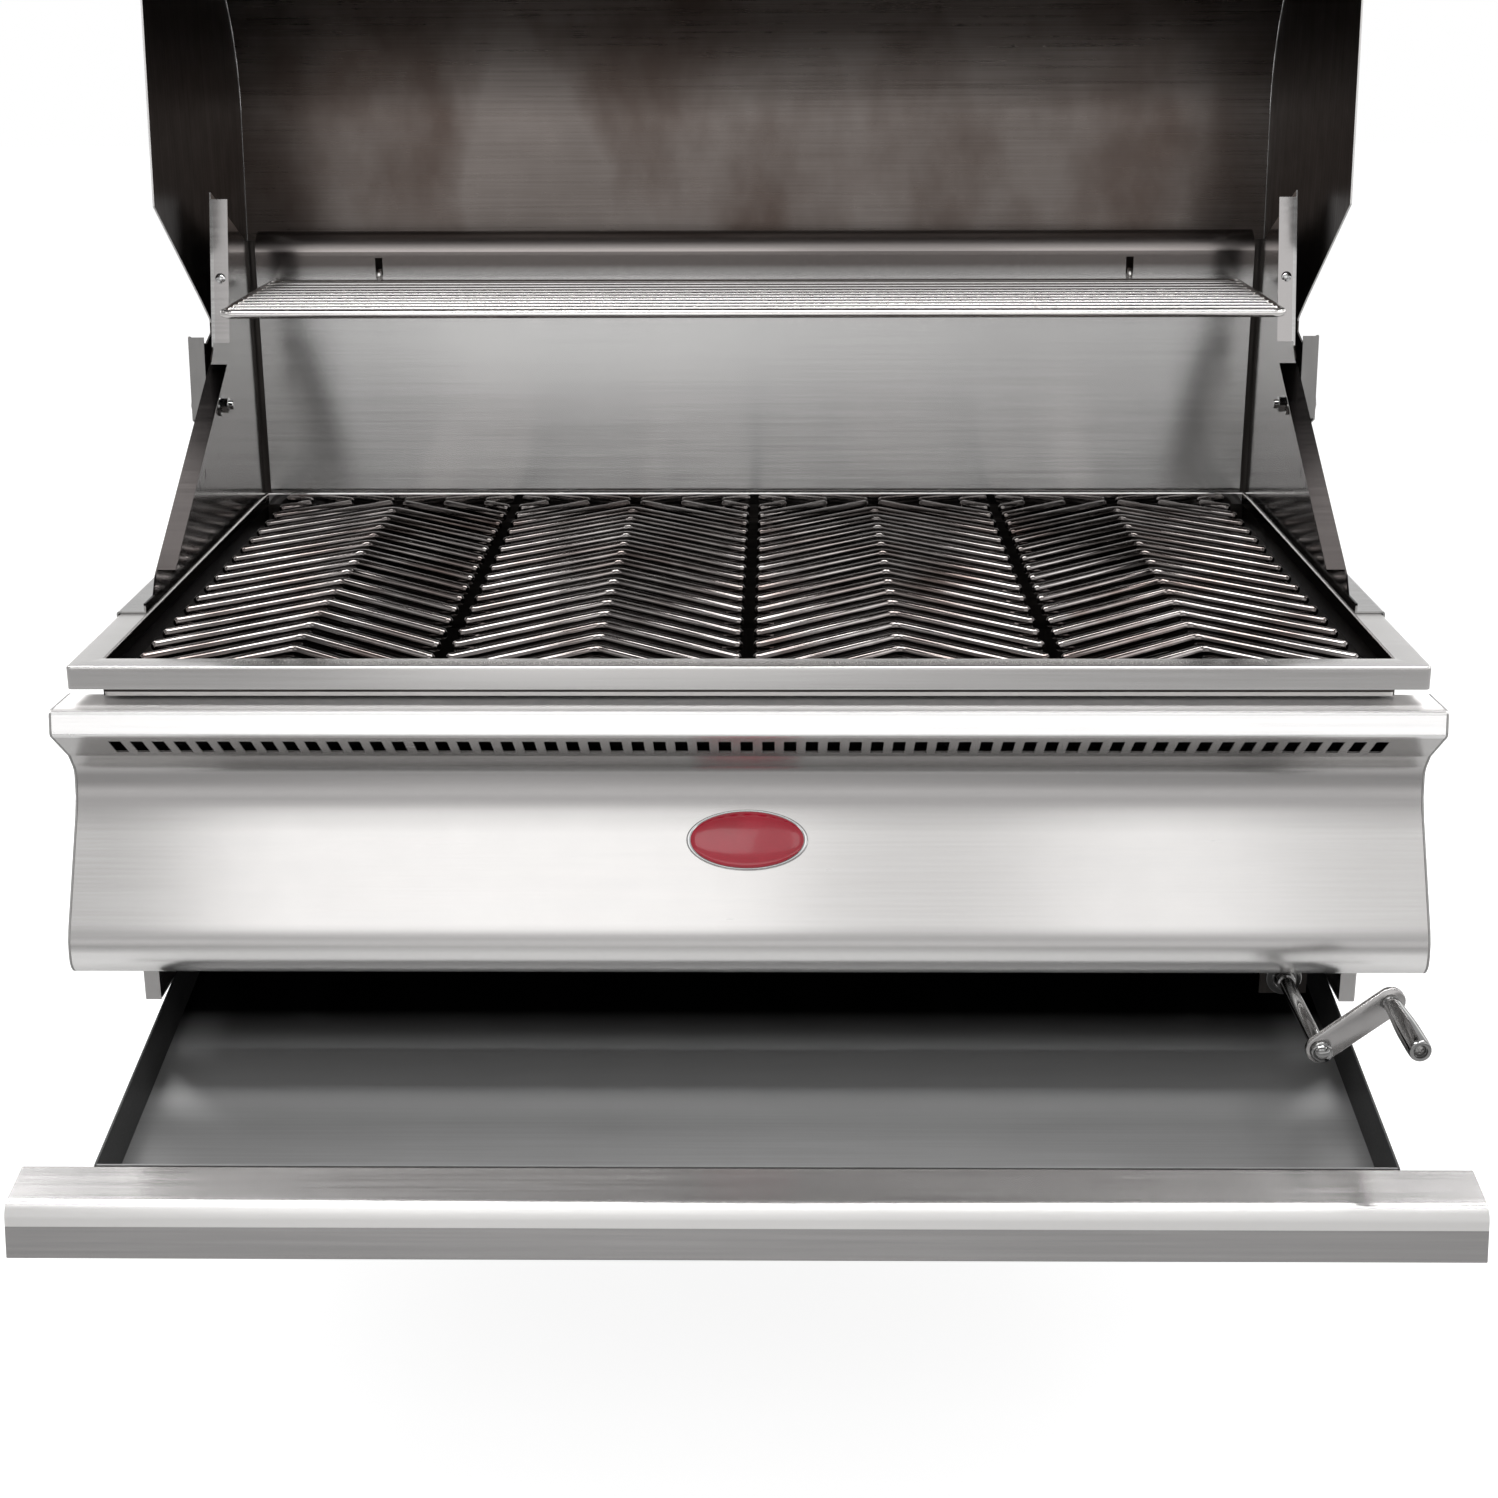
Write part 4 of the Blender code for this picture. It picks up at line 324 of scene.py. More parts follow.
RIM_STEEL = metal("rim_stainless", (0.62, 0.605, 0.595), (0.68, 0.668, 0.66), 0.19, *BRUSHED, clouds=CALM)
inner_lip = (above("X", -LIP_X), below("X", LIP_X), above("Y", -LIP_Y), below("Y", LIP_Y))
reglossed(RIM_STEEL, mask(RIM_STEEL.node_tree, "MINIMUM", *inner_lip), 0.06)

PANEL = metal("panel_stainless", (0.6, 0.585, 0.575), (0.66, 0.648, 0.64), 0.25, *BRUSHED, clouds=CALM)
PANEL_TREE = PANEL.node_tree
# Painted highlight: the panel's top flange is painted near white, with a painted shade along its front edge
flange = mask(PANEL_TREE, "MINIMUM", above("Z", PANEL_FLANGE[0]), above("Y", PANEL_FLANGE[1]))
reglossed(PANEL, flange, 0.45)
recoloured(PANEL, flange, (0.95, 0.93, 0.92))
shelf = ranged(PANEL_TREE, placed(PANEL_TREE, "Y"), 0, 1, *SHELF_FADE)
recoloured(PANEL, summed(PANEL_TREE, shelf, flange, "MULTIPLY"), (0.3, 0.293, 0.29))
# Painted shade: the panel's flange behind its front is near black
dyed(PANEL, (0.03, 0.03, 0.03), above("Y", PANEL_BACK[0]), below("Z", PANEL_BACK[1]))
# Painted highlight: the panel's nose is painted near white
dyed(PANEL, (0.95, 0.94, 0.935), below("Y", PANEL_NOSE[0]), above("Z", PANEL_NOSE[1]))
# Painted shade on the panel's neck and lower bulge, and a painted highlight on its bottom bend
sweep = [ranged(PANEL_TREE, placed(PANEL_TREE, "Z"), 0, 1, *fade) for fade in SWEEP_FADES]
recoloured(PANEL, summed(PANEL_TREE, *sweep, "MULTIPLY"), (0.38, 0.37, 0.365))
faded(PANEL, (0.44, 0.431, 0.426), "Z", *BULGE_FADE)
faded(PANEL, (0.92, 0.91, 0.9), "Z", *BOTTOM_FADE)

DRAWER_FACE = metal(
    "drawer_front_stainless", (0.36, 0.352, 0.348), (0.42, 0.411, 0.407), 0.21, *BRUSHED, clouds=CALM
)
# Painted highlight: the drawer front's top bend is made pale
bend_tests = (below("Z", DRAWER_BEND[0]), above("Z", DRAWER_BEND[1]), below("Y", DRAWER_BEND[2]))
bend = mask(DRAWER_FACE.node_tree, "MINIMUM", *bend_tests)
recoloured(DRAWER_FACE, bend, (0.72, 0.71, 0.7))
reglossed(DRAWER_FACE, bend, 0.38)

BACK_STEEL = metal(
    "back_stainless", (0.63, 0.625, 0.62), (0.7, 0.695, 0.69), 0.22, 0.012, ALONG_X, 0.92, 0.006, clouds=0.4
)
# Painted reflection and shade: the back wall is near black from its upper part up, and its roll is a dark grey
faded(BACK_STEEL, (0.13, 0.117, 0.112), "Z", *BACK_FADE)
dyed(BACK_STEEL, (0.32, 0.293, 0.283), above("Z", BACK_ROLL))

SIDE_STEEL = metal(
    "side_stainless", (0.42, 0.415, 0.41), (0.52, 0.515, 0.51), 0.13, 0.03, ALONG_X, 0.3, 0.02, clouds=0.4
)
dyed(SIDE_STEEL, (0.42, 0.405, 0.4), above("X", -FLANGE_X), below("X", FLANGE_X))
# Painted shade: the side walls' faces that do not look sideways, between FLANGE_Z and NOTCH_Z, are near black
edge_on = (above("X", -0.5, "Normal"), below("X", 0.5, "Normal"))
dyed(SIDE_STEEL, (0.007, 0.0058, 0.0055), *edge_on, below("Z", NOTCH_Z), above("Z", FLANGE_Z))

SHADED = metal("shaded_stainless", (0.3, 0.295, 0.29), (0.4, 0.395, 0.39), 0.34, 0.05, ALONG_X, 0.5, 0.03)

DRAWER = metal("drawer_stainless", (0.17, 0.17, 0.17), (0.21, 0.21, 0.21), 0.45, 0.03, ALONG_X, 0.5, 0.02)
drawer_shader = DRAWER.node_tree.nodes["Principled BSDF"]
drawer_shader.inputs["Metallic"].default_value = 0.55
drawer_shader.inputs["IOR"].default_value = 1.05
# Painted light and shade on the tray: lighter towards the front, near black at the back and dark on its sides
faded(DRAWER, (0.36, 0.36, 0.36), "Y", *TRAY_FRONT_FADE)
faded(DRAWER, (0.002, 0.002, 0.002), "Y", *TRAY_REAR_FADE)
tray_sides = mask(DRAWER.node_tree, "MAXIMUM", above("X", TRAY_X), below("X", -TRAY_X))
recoloured(DRAWER, tray_sides, (0.06, 0.06, 0.06))

# The hood's inside: heat stain with painted shade, near black and brown; its outside is a lighter steel
STAINED_AND_SHADED = metal(
    "heat_stained_and_shaded_stainless",
    dark=(0.09, 0.077, 0.07),
    light=(0.17, 0.15, 0.14),
    rough=0.3,
    spread=0.04,
    grain=ALONG_X,
    aniso=0.5,
    bump=0.008,
    stain=(0.06, 0.043, 0.036),
)
recoloured(STAINED_AND_SHADED, outward(STAINED_AND_SHADED.node_tree, HOOD_MIDDLE), (0.44, 0.432, 0.427))

# Real soot on the charcoal tray; painted shade on the crank's bracket and on the dark strips behind the back
# corners
SOOTED_AND_SHADED = metal("sooted_and_shaded_stainless", *SOOT_AND_SHADE, 0.4, 0.06, ALONG_Z, 0.0, 0.03, stain=SOOT_STAIN)

SHELL = metal("firebox_stainless", *SOOT_AND_SHADE, 0.36, 0.05, ALONG_X, 0.3, 0.03, stain=SOOT_STAIN)
SHELL_TREE = SHELL.node_tree
# The firebox's lit outside is plain clean steel; its front wall behind the panel keeps the near-black colour as
# painted shade
front_collar = mask(SHELL_TREE, "MINIMUM", below("Y", -COLLAR_Y), below("Z", -COLLAR_DROP))
outside = (above("X", COLLAR_X), below("X", -COLLAR_X), above("Y", COLLAR_Y), below("Z", -SHELL_LEG))
clean_and_lit = summed(SHELL_TREE, mask(SHELL_TREE, "MAXIMUM", *outside), front_collar, "MAXIMUM")
for wall in (above("X", SHELL_X), below("X", -SHELL_X), above("Y", SHELL_Y)):
    lower = mask(SHELL_TREE, "MINIMUM", wall, below("Z", -STEP_UNDER))
    clean_and_lit = summed(SHELL_TREE, clean_and_lit, lower, "MAXIMUM")
recoloured(SHELL, clean_and_lit, (0.42, 0.41, 0.405))
# Painted light: the front collar under the rim is made pale
recoloured(SHELL, front_collar, (0.7, 0.685, 0.675))

# The hood sides' inside is near black: painted shade over real soot stain; their outside is lighter
HOOD_SIDE = metal(
    "hood_side_stainless",
    dark=(0.03, 0.027, 0.026),
    light=(0.06, 0.055, 0.052),
    rough=0.36,
    spread=0.06,
    grain=ALONG_Z,
    aniso=0.0,
    bump=0.03,
    stain=SOOT_STAIN,
)
recoloured(HOOD_SIDE, outward(HOOD_SIDE.node_tree, HOOD_MIDDLE), (0.56, 0.55, 0.545))
# Painted light: the hinge tab is a flat mid grey, lighter than the painted shade of the hood sides' inside
dyed(HOOD_SIDE, (0.22, 0.216, 0.212), below("Y", TAB_Y), below("Z", TAB_Z))

# The rods: a dark heat tint, and a painted shade that darkens them further so that only thin lamp highlights
# show
RODS = metal(
    "seasoned_and_shaded_rods",
    dark=(0.13, 0.118, 0.114),
    light=(0.28, 0.262, 0.256),
    rough=0.12,
    spread=0.03,
    grain=EVEN,
    aniso=0.0,
    bump=0.008,
    stain=(0.1, 0.072, 0.064),
)
RACK = metal("rack_chrome", (0.7, 0.68, 0.665), (0.82, 0.8, 0.785), 0.2, 0.01, EVEN, 0.0, 0.002)
CHROME = metal("polished_chrome", (0.5, 0.5, 0.5), (0.64, 0.64, 0.64), 0.09, 0.03, EVEN, 0.0, 0.004)
# Painted shade: a darker copy of the chrome for the crank's rod, nut, grip and bush
CRANK_CHROME = metal("crank_chrome", (0.22, 0.218, 0.216), (0.34, 0.338, 0.335), 0.07, 0.02, EVEN, 0.0, 0.004)
BRONZE = metal("bearing_bronze", (0.3, 0.23, 0.15), (0.44, 0.33, 0.2), 0.3, 0.05, EVEN, 0.0, 0.02)
BRUSHED_ARM = metal("brushed_arm", (0.35, 0.34, 0.335), (0.44, 0.43, 0.425), 0.22, 0.04, EVEN, 0.0, 0.012)
RED = paint("red_enamel_gloss", (0.52, 0.006, 0.028), (0.66, 0.012, 0.045), 0.16, 0.6)
BLACK = paint("black_paint_satin", (0.012, 0.012, 0.012), (0.03, 0.03, 0.03), 0.35)
DIAL = paint("dial_white", (0.72, 0.71, 0.68), (0.8, 0.79, 0.77), 0.4)


# Shapes
def finished(name, bm, look, body, slot, *replaced, angle=40):
    """The shape as a named piece that rides its body and stands for the CAD nodes that it replaces."""
    bmesh.ops.recalc_face_normals(bm, faces=bm.faces)
    mesh = bpy.data.meshes.new(name)
    bm.to_mesh(mesh)
    bm.free()
    mesh.shade_smooth()
    mesh.set_sharp_from_angle(angle=math.radians(angle))
    mesh.materials.append(look)
    made = bpy.data.objects.new(name, mesh)
    bpy.context.scene.collection.objects.link(made)
    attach(made, body)
    if replaced:
        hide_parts(*replaced)


def moved(bm, matrix, start=0):
    bm.verts.ensure_lookup_table()
    bmesh.ops.transform(bm, matrix=matrix, verts=bm.verts[start:])
    return bm


def facing(origin, out, right=RIGHT):
    """A matrix whose Z looks along a normal, at a place."""
    z = out.normalized()
    x = (right - z * right.dot(z)).normalized()
    turn = Matrix((x, z.cross(x), z)).transposed().to_4x4()
    return Matrix.Translation(origin) @ turn


def bridged(bm, rings, closed=False):
    pairs = list(zip(rings, rings[1:]))
    if closed:
        pairs.append((rings[-1], rings[0]))
    for low, high in pairs:
        size = max(len(low), len(high))
        for number in range(size):
            following = (number + 1) % size
            corners = [low[number % len(low)], low[following % len(low)]]
            corners += [high[following % len(high)], high[number % len(high)]]
            bm.faces.new(list(dict.fromkeys(corners)))


def capped(bm, rings):
    """A solid through rings, closed by a face at each end."""
    bm.faces.new(rings[0][::-1])
    bm.faces.new(rings[-1])
    bridged(bm, rings)


def scaled(profile, base=0.0):
    """A profile of (radius, height) pairs in millimetres, in metres from a base."""
    return [(radius * MM, base + height * MM) for radius, height in profile]


def turned(profile, matrix, sides, closed=False, bm=None):
    """A solid turned about Z from (radius, height) pairs, then placed by a matrix."""
    bm = bm or bmesh.new()
    start = len(bm.verts)
    rings = []
    for radius, height in profile:
        count = sides if radius else 1
        angles = [math.tau * number / sides for number in range(count)]
        rings.append([bm.verts.new((radius * math.cos(a), radius * math.sin(a), height)) for a in angles])
    bridged(bm, rings, closed)
    return moved(bm, matrix, start)


def filleted(points, radius, steps):
    """A profile with each inner corner rounded."""
    result = [Vector(points[0])]
    for before, corner, after in zip(points, points[1:], points[2:]):
        corner, before, after = Vector(corner), Vector(before), Vector(after)
        back, ahead = before - corner, after - corner
        reach = min(radius, back.length * 0.45, ahead.length * 0.45)
        start, end = corner + back.normalized() * reach, corner + ahead.normalized() * reach
        for number in range(steps + 1):
            share = number / steps
            result.append(start.lerp(corner, share).lerp(corner.lerp(end, share), share))
    result.append(Vector(points[-1]))
    return result


def swept(path, radius, up, sides, closed=False, domed=False, bm=None):
    """A round bar along a path that lies square to up, with domed or flat ends."""
    bm = bm or bmesh.new()
    points = [Vector(point) for point in path]
    count = len(points)
    rings = []

    def ring(point, mitre, size):
        made = []
        for number in range(sides):
            angle = math.tau * number / sides
            made.append(bm.verts.new(point + size * (mitre * math.cos(angle) + up * math.sin(angle))))
        return made

    for index, point in enumerate(points):
        following = points[(index + 1) % count] if closed or index < count - 1 else None
        previous = points[index - 1] if closed or index > 0 else None
        ahead = (following - point).normalized() if following else (point - previous).normalized()
        back = (point - previous).normalized() if previous else ahead
        side_ahead, side_back = up.cross(ahead), up.cross(back)
        mitre = (side_ahead + side_back) / (1 + side_ahead.dot(side_back))
        caps = []
        if domed and not closed and index in (0, count - 1):
            out = -ahead if index == 0 else ahead
            for share in (0.25, 0.6, 0.85):
                size = radius * math.sqrt(1 - share * share)
                caps.append(ring(point + out * radius * (share - 0.85), mitre, size))
            if index == 0:
                caps.reverse()
            rings += caps
        else:
            rings.append(ring(point, mitre, radius))
    if closed:
        bridged(bm, rings, True)
    else:
        capped(bm, rings)
    return bm


def framed(loops, corner, steps):
    """A closed frame through loops of (half length, half depth, height) with round corners."""
    bm = bmesh.new()
    rings = []
    for x, y, height in loops:
        radius = max(corner - (loops[0][0] - x), 0.5 * MM)
        ring = []
        for sx, sy, first in QUADRANTS:
            for number in range(steps + 1):
                angle = math.radians(first + 90 * number / steps)
                across = sx * (x - radius) + radius * math.cos(angle)
                ahead = sy * (y - radius) + radius * math.sin(angle)
                ring.append(bm.verts.new((across, ahead, height)))
        rings.append(ring)
    bridged(bm, rings, True)
    return bm


def offset(path, distance):
    """The path moved to its left, with mitred corners."""
    result = []
    last = len(path) - 1
    for index, point in enumerate(path):
        ahead = (path[min(index + 1, last)] - path[min(index, last - 1)]).normalized()
        back = (path[max(index, 1)] - path[max(index - 1, 0)]).normalized()
        left_ahead, left_back = Vector((-ahead.y, ahead.x)), Vector((-back.y, back.x))
        result.append(point + (left_ahead + left_back) / (1 + left_ahead.dot(left_back)) * distance)
    return result


def plate(outline, matrix, thickness, bm=None):
    """A flat plate whose outline is drawn in XY."""
    bm = bm or bmesh.new()
    start = len(bm.verts)
    capped(bm, [[bm.verts.new((x, y, height)) for x, y in outline] for height in (0, thickness)])
    return moved(bm, matrix, start)


def arced(points, radii):
    """A path with an arc at each corner between two short straight lengths that keep the flats flat."""
    step, support = math.radians(5), 0.3 * MM
    result = [Vector(points[0])]
    for index in range(1, len(points) - 1):
        corner, before, after = Vector(points[index]), Vector(points[index - 1]), Vector(points[index + 1])
        back, ahead = (before - corner).normalized(), (after - corner).normalized()
        half = back.angle(ahead) / 2
        reach = radii[index] / math.tan(half)
        centre = corner + (back + ahead).normalized() * radii[index] / math.sin(half)
        start = corner + back * reach - centre
        sweep = start.angle_signed(corner + ahead * reach - centre)
        steps = max(2, math.ceil(abs(sweep) / step))
        result.append(corner + back * (reach + support))
        for number in range(steps + 1):
            turn = -sweep * number / steps
            cos, sin = math.cos(turn), math.sin(turn)
            result.append(centre + Vector((start.x * cos - start.y * sin, start.x * sin + start.y * cos)))
        result.append(corner + ahead * (reach + support))
    result.append(Vector(points[-1]))
    return result


def block(bm, low, high, outline):
    """A prism along X between two places over a (y, z) outline."""
    capped(bm, [[bm.verts.new((x, y, z)) for y, z in outline] for x in (low, high)])
    return bm


def bent_sheet(points, radii, thickness, half):
    """A folded sheet along X whose outer face follows (y, z) points in millimetres."""
    path = arced([(y * MM, z * MM) for y, z in points], [radius * MM for radius in radii])
    return block(bmesh.new(), -half, half, path + offset(path, thickness)[::-1])


def pierced(bm, tool):
    """The shape less the cutting shape."""
    pair = []
    for made in (bm, tool):
        bmesh.ops.recalc_face_normals(made, faces=made.faces)
        mesh = bpy.data.meshes.new("pierced")
        made.to_mesh(mesh)
        made.free()
        pair.append(bpy.data.objects.new("pierced", mesh))
        bpy.context.scene.collection.objects.link(pair[-1])
    change = pair[0].modifiers.new("pierced", "BOOLEAN")
    change.operation, change.solver, change.object = "DIFFERENCE", "EXACT", pair[1]
    result = bmesh.new()
    result.from_object(pair[0], bpy.context.evaluated_depsgraph_get())
    for spent in pair:
        mesh = spent.data
        bpy.data.objects.remove(spent)
        bpy.data.meshes.remove(mesh)
    return result


# Folded sheets, each as the (y, z) corners of its outer face in millimetres with a radius at each corner
def build_panel():
    points = [
        (-281.6, -67.5),
        (-281.6, -13.5),
        (-332.5, -11.5),
        (-336, -29.5),
        (-298, -57.5),
        (-287.4, -71.5),
        (-287.4, -93),
        (-343, -190),
        (-343, -219.5),
        (-318, -219.5),
        (-318, -211.5),
    ]
    radii = [0, 3, 2, 2.5, 2, 14, 60, 35, 16, 4, 0]
    half = 509.2 * MM
    vent_count, vent_pitch, vent_width, vent_length = 59, 16.1 * MM, 9.3 * MM, 26 * MM
    vent_share, overrun = 0.55, 4 * MM
    nose, ledge = Vector(points[3]) * MM, Vector(points[4]) * MM
    along = (ledge - nose).normalized()
    square = Vector((-along.y, along.x)) * overrun
    middle = nose + (ledge - nose) * vent_share
    reach = along * vent_length / 2
    rear, front = middle - reach, middle + reach
    outline = [rear - square, front - square, front + square, rear + square]
    vents = bmesh.new()
    for number in range(vent_count):
        x = (number - (vent_count - 1) / 2) * vent_pitch
        block(vents, x - vent_width / 2, x + vent_width / 2, outline)
    sheet = pierced(bent_sheet(points, radii, SHEET, half), vents)
    finished("bent_front_panel", sheet, PANEL, "firebox", "brushed_steel", "front_panel", angle=30)


def build_drawer_front():
    points = [
        (-485.22, -327.36),
        (-487.955, -299.454),
        (-533.516, -306.589),
        (-539.643, -344.995),
        (-527.79, -343.14),
    ]
    radii = [0, 2, 12, 2, 0]
    half = 511 * MM
    sheet = bent_sheet(points, radii, SHEET, half)
    finished("bent_drawer_front", sheet, DRAWER_FACE, "drawer", "brushed_steel", "drawer_front", angle=30)


def build_hood_shell():
    """The shell's points are those of the closed hood about its hinge, so it is then swung open."""
    points = [(-427, -110), (-441, -110), (-400, 235), (90, 235), (90, 215)]
    radii = [0, 3, 160, 6, 0]
    half = 499.2 * MM
    shell = bent_sheet(points, radii, -SHEET, half)
    moved(shell, Matrix.Translation(HINGE) @ Matrix.Rotation(-HOOD_OPEN, 4, "X"))
    finished("curved_hood_shell", shell, STAINED_AND_SHADED, "hood", "brushed_steel", "hood_shell", angle=30)


def build_back_wall():
    points = [(309, 17.8), (292, 17.8), (292, 267.5), (316, 267.5), (316, 255.5)]
    radii = [0, 4, 21.3, 2, 0]
    half = 474.5 * MM
    slot_y, slot_z, slot_half = (286 * MM, 298 * MM), (228.5 * MM, 244.5 * MM), 3.5 * MM
    outline = [(slot_y[0], slot_z[0]), (slot_y[1], slot_z[0]), (slot_y[1], slot_z[1]), (slot_y[0], slot_z[1])]
    slots = bmesh.new()
    for side in SIDES.values():
        block(slots, side * HOOK_X - slot_half, side * HOOK_X + slot_half, outline)
    sheet = pierced(bent_sheet(points, radii, -SHEET, half), slots)
    finished("rolled_back_wall", sheet, BACK_STEEL, "firebox", "brushed_steel", "back_wall", angle=30)


# Rim
def build_rim():
    edge, corner, steps = 2 * MM, 4 * MM, 6
    corners = [(0, 0), (0, RIM_TOP), (RIM_BAND, RIM_TOP), (RIM_BAND, RIM_TOP - RIM_LIP)]
    path = filleted(corners, edge, steps)
    section = path + offset(path, -SHEET)[::-1]
    loops = [(RIM_X - point.x, RIM_Y - point.x, point.y) for point in section]
    finished("rim", framed(loops, corner, steps), RIM_STEEL, "firebox", "brushed_steel", "counter_rim")


# Grates
def chevrons():
    half = GRATE_WIDTH / 2
    number = 0
    while True:
        apex = -GRATE_Y + FIRST_APEX + number * ROD_STEP
        end = apex - ROD_SLOPE * half
        if apex - GRATE_Y > ROD_SLOPE * (half - BAR_INSET_X - BAR_WIDTH) or end >= GRATE_Y - 2 * ROD_RADIUS:
            return
        foot_y = max(end, -GRATE_Y)
        foot_x = (apex - foot_y) / ROD_SLOPE
        if apex <= GRATE_Y - ROD_RADIUS:
            yield filleted([(-foot_x, foot_y), (0, apex), (foot_x, foot_y)], ROD_BEND, 8)
        else:
            head_x = (apex - GRATE_Y) / ROD_SLOPE
            yield [Vector((-foot_x, foot_y)), Vector((-head_x, GRATE_Y))]
            yield [Vector((head_x, GRATE_Y)), Vector((foot_x, foot_y))]
        number += 1


def build_grates():
    outer = (GRATE_WIDTH / 2 - BAR_INSET_X, GRATE_Y - BAR_INSET_Y)
    inner = (outer[0] - BAR_WIDTH, outer[1] - BAR_WIDTH)
    soft = 0.6 * MM
    loops = [
        (*outer, BAR_BOTTOM + soft),
        (*outer, BAR_TOP - soft),
        (outer[0] - soft, outer[1] - soft, BAR_TOP),
        (inner[0] + soft, inner[1] + soft, BAR_TOP),
        (*inner, BAR_TOP - soft),
        (*inner, BAR_BOTTOM + soft),
        (inner[0] + soft, inner[1] + soft, BAR_BOTTOM),
        (outer[0] - soft, outer[1] - soft, BAR_BOTTOM),
    ]
    for number in range(GRATE_COUNT):
        centre = (number - (GRATE_COUNT - 1) / 2) * GRATE_PITCH
        bm = framed(loops, BAR_WIDTH, 4)
        for path in chevrons():
            swept([(p.x, p.y, ROD_Z) for p in path], ROD_RADIUS, UP, 12, domed=True, bm=bm)
        moved(bm, Matrix.Translation((centre, 0, 0)))
        name = f"grate_{number + 1}"
        finished(f"herringbone_{name}", bm, RODS, name, "grate_steel", f"cooking_{name}")


# Warming rack
def build_rack():
    corner, steps = 10 * MM, 8
    long_count, long_pitch, cross_count = 7, 126 * MM, 10
    hook_reach, hook_bend = 9 * MM, 3 * MM
    loop = []
    for sx, sy, first in QUADRANTS:
        y = RACK_REAR if sy > 0 else RACK_FRONT
        for number in range(steps + 1):
            angle = math.radians(first + 90 * number / steps)
            across = sx * (RACK_X - corner) + corner * math.cos(angle)
            loop.append((across, y - sy * corner + corner * math.sin(angle), RACK_Z))
    bm = swept(loop, RACK_ROD, UP, 16, closed=True)
    for number in range(long_count):
        x = (number - (long_count - 1) / 2) * long_pitch
        z = RACK_Z - RACK_WIRE - GAP / 2
        swept([(x, RACK_FRONT, z), (x, RACK_REAR, z)], RACK_WIRE, UP, 10, bm=bm)
    for number in range(cross_count):
        y = RACK_FRONT + (RACK_REAR - RACK_FRONT) * (number + 1) / (cross_count + 1)
        z = RACK_Z + RACK_WIRE + GAP / 2
        swept([(-RACK_X, y, z), (RACK_X, y, z)], RACK_WIRE, UP, 10, bm=bm)
    for side in SIDES.values():
        corners = [(RACK_REAR, RACK_Z), (RACK_REAR, HOOK_Z), (BACK_FACE_Y + hook_reach, HOOK_Z)]
        path = [(side * HOOK_X, p.x, p.y) for p in filleted(corners, hook_bend, 6)]
        swept(path, HOOK_ROD, RIGHT, 12, domed=True, bm=bm)
    finished("wire_rack", bm, RACK, "rack", "chrome", "warming_rack", angle=60)


# Badge, a bare oval
def build_badge():
    lift, squash, sides = 0.7 * MM, 0.5, 72
    oval = facing(BADGE_SPOT + BADGE_OUT * lift, BADGE_OUT) @ Matrix.Diagonal((1, squash, 1, 1))
    bezel = [(0, 0), (46, 0), (46, 1.6), (45.6, 2.3), (44.8, 2.6), (43.6, 2.5), (43, 2.0), (0, 2.0)]
    bm = turned(scaled(bezel), oval, sides)
    finished("badge_bezel", bm, CHROME, "firebox", "chrome", "badge", angle=60)
    dome = [(0, 1.9), (42.9, 1.9), (42.8, 2.3), (42, 2.75), (39, 3.4)]
    dome += [(34, 4.0), (26, 4.6), (15, 5.1), (6, 5.35), (0, 5.4)]
    bm = turned(scaled(dome), oval, sides)
    finished("badge_enamel", bm, RED, "firebox", "red_enamel", angle=60)


# Dark strips behind the gap between the back wall and the side walls: sheets of painted shade that close the
# see-through gaps
def build_corner_strips():
    width, tall, thickness = 11 * MM, 243 * MM, 1.2 * MM
    x, y = 474.8 * MM, 293.5 * MM
    for name, side in SIDES.items():
        outline = [(0, 0), (width, 0), (width, side * tall), (0, side * tall)]
        place = facing(Vector((side * x, y, RIM_TOP + GAP)), Vector((0, -1, 0)), RIGHT * side)
        finished(f"{name}_shade_strip", plate(outline, place, thickness), SOOTED_AND_SHADED, "firebox", "shaded_steel")


# Fasteners
def hexagon(bm, across, low, high, matrix):
    """A six-sided nut or bolt head with its corners turned down."""
    chamfer = 0.6 * MM
    start = len(bm.verts)
    flat, radius = across / 2, across / math.sqrt(3)
    angles = [math.tau * number / 6 for number in range(6)]
    rings = []
    for size, height in ((flat, low), (radius, low + chamfer), (radius, high - chamfer), (flat, high)):
        rings.append([bm.verts.new((size * math.cos(a), size * math.sin(a), height)) for a in angles])
    capped(bm, rings)
    moved(bm, matrix, start)


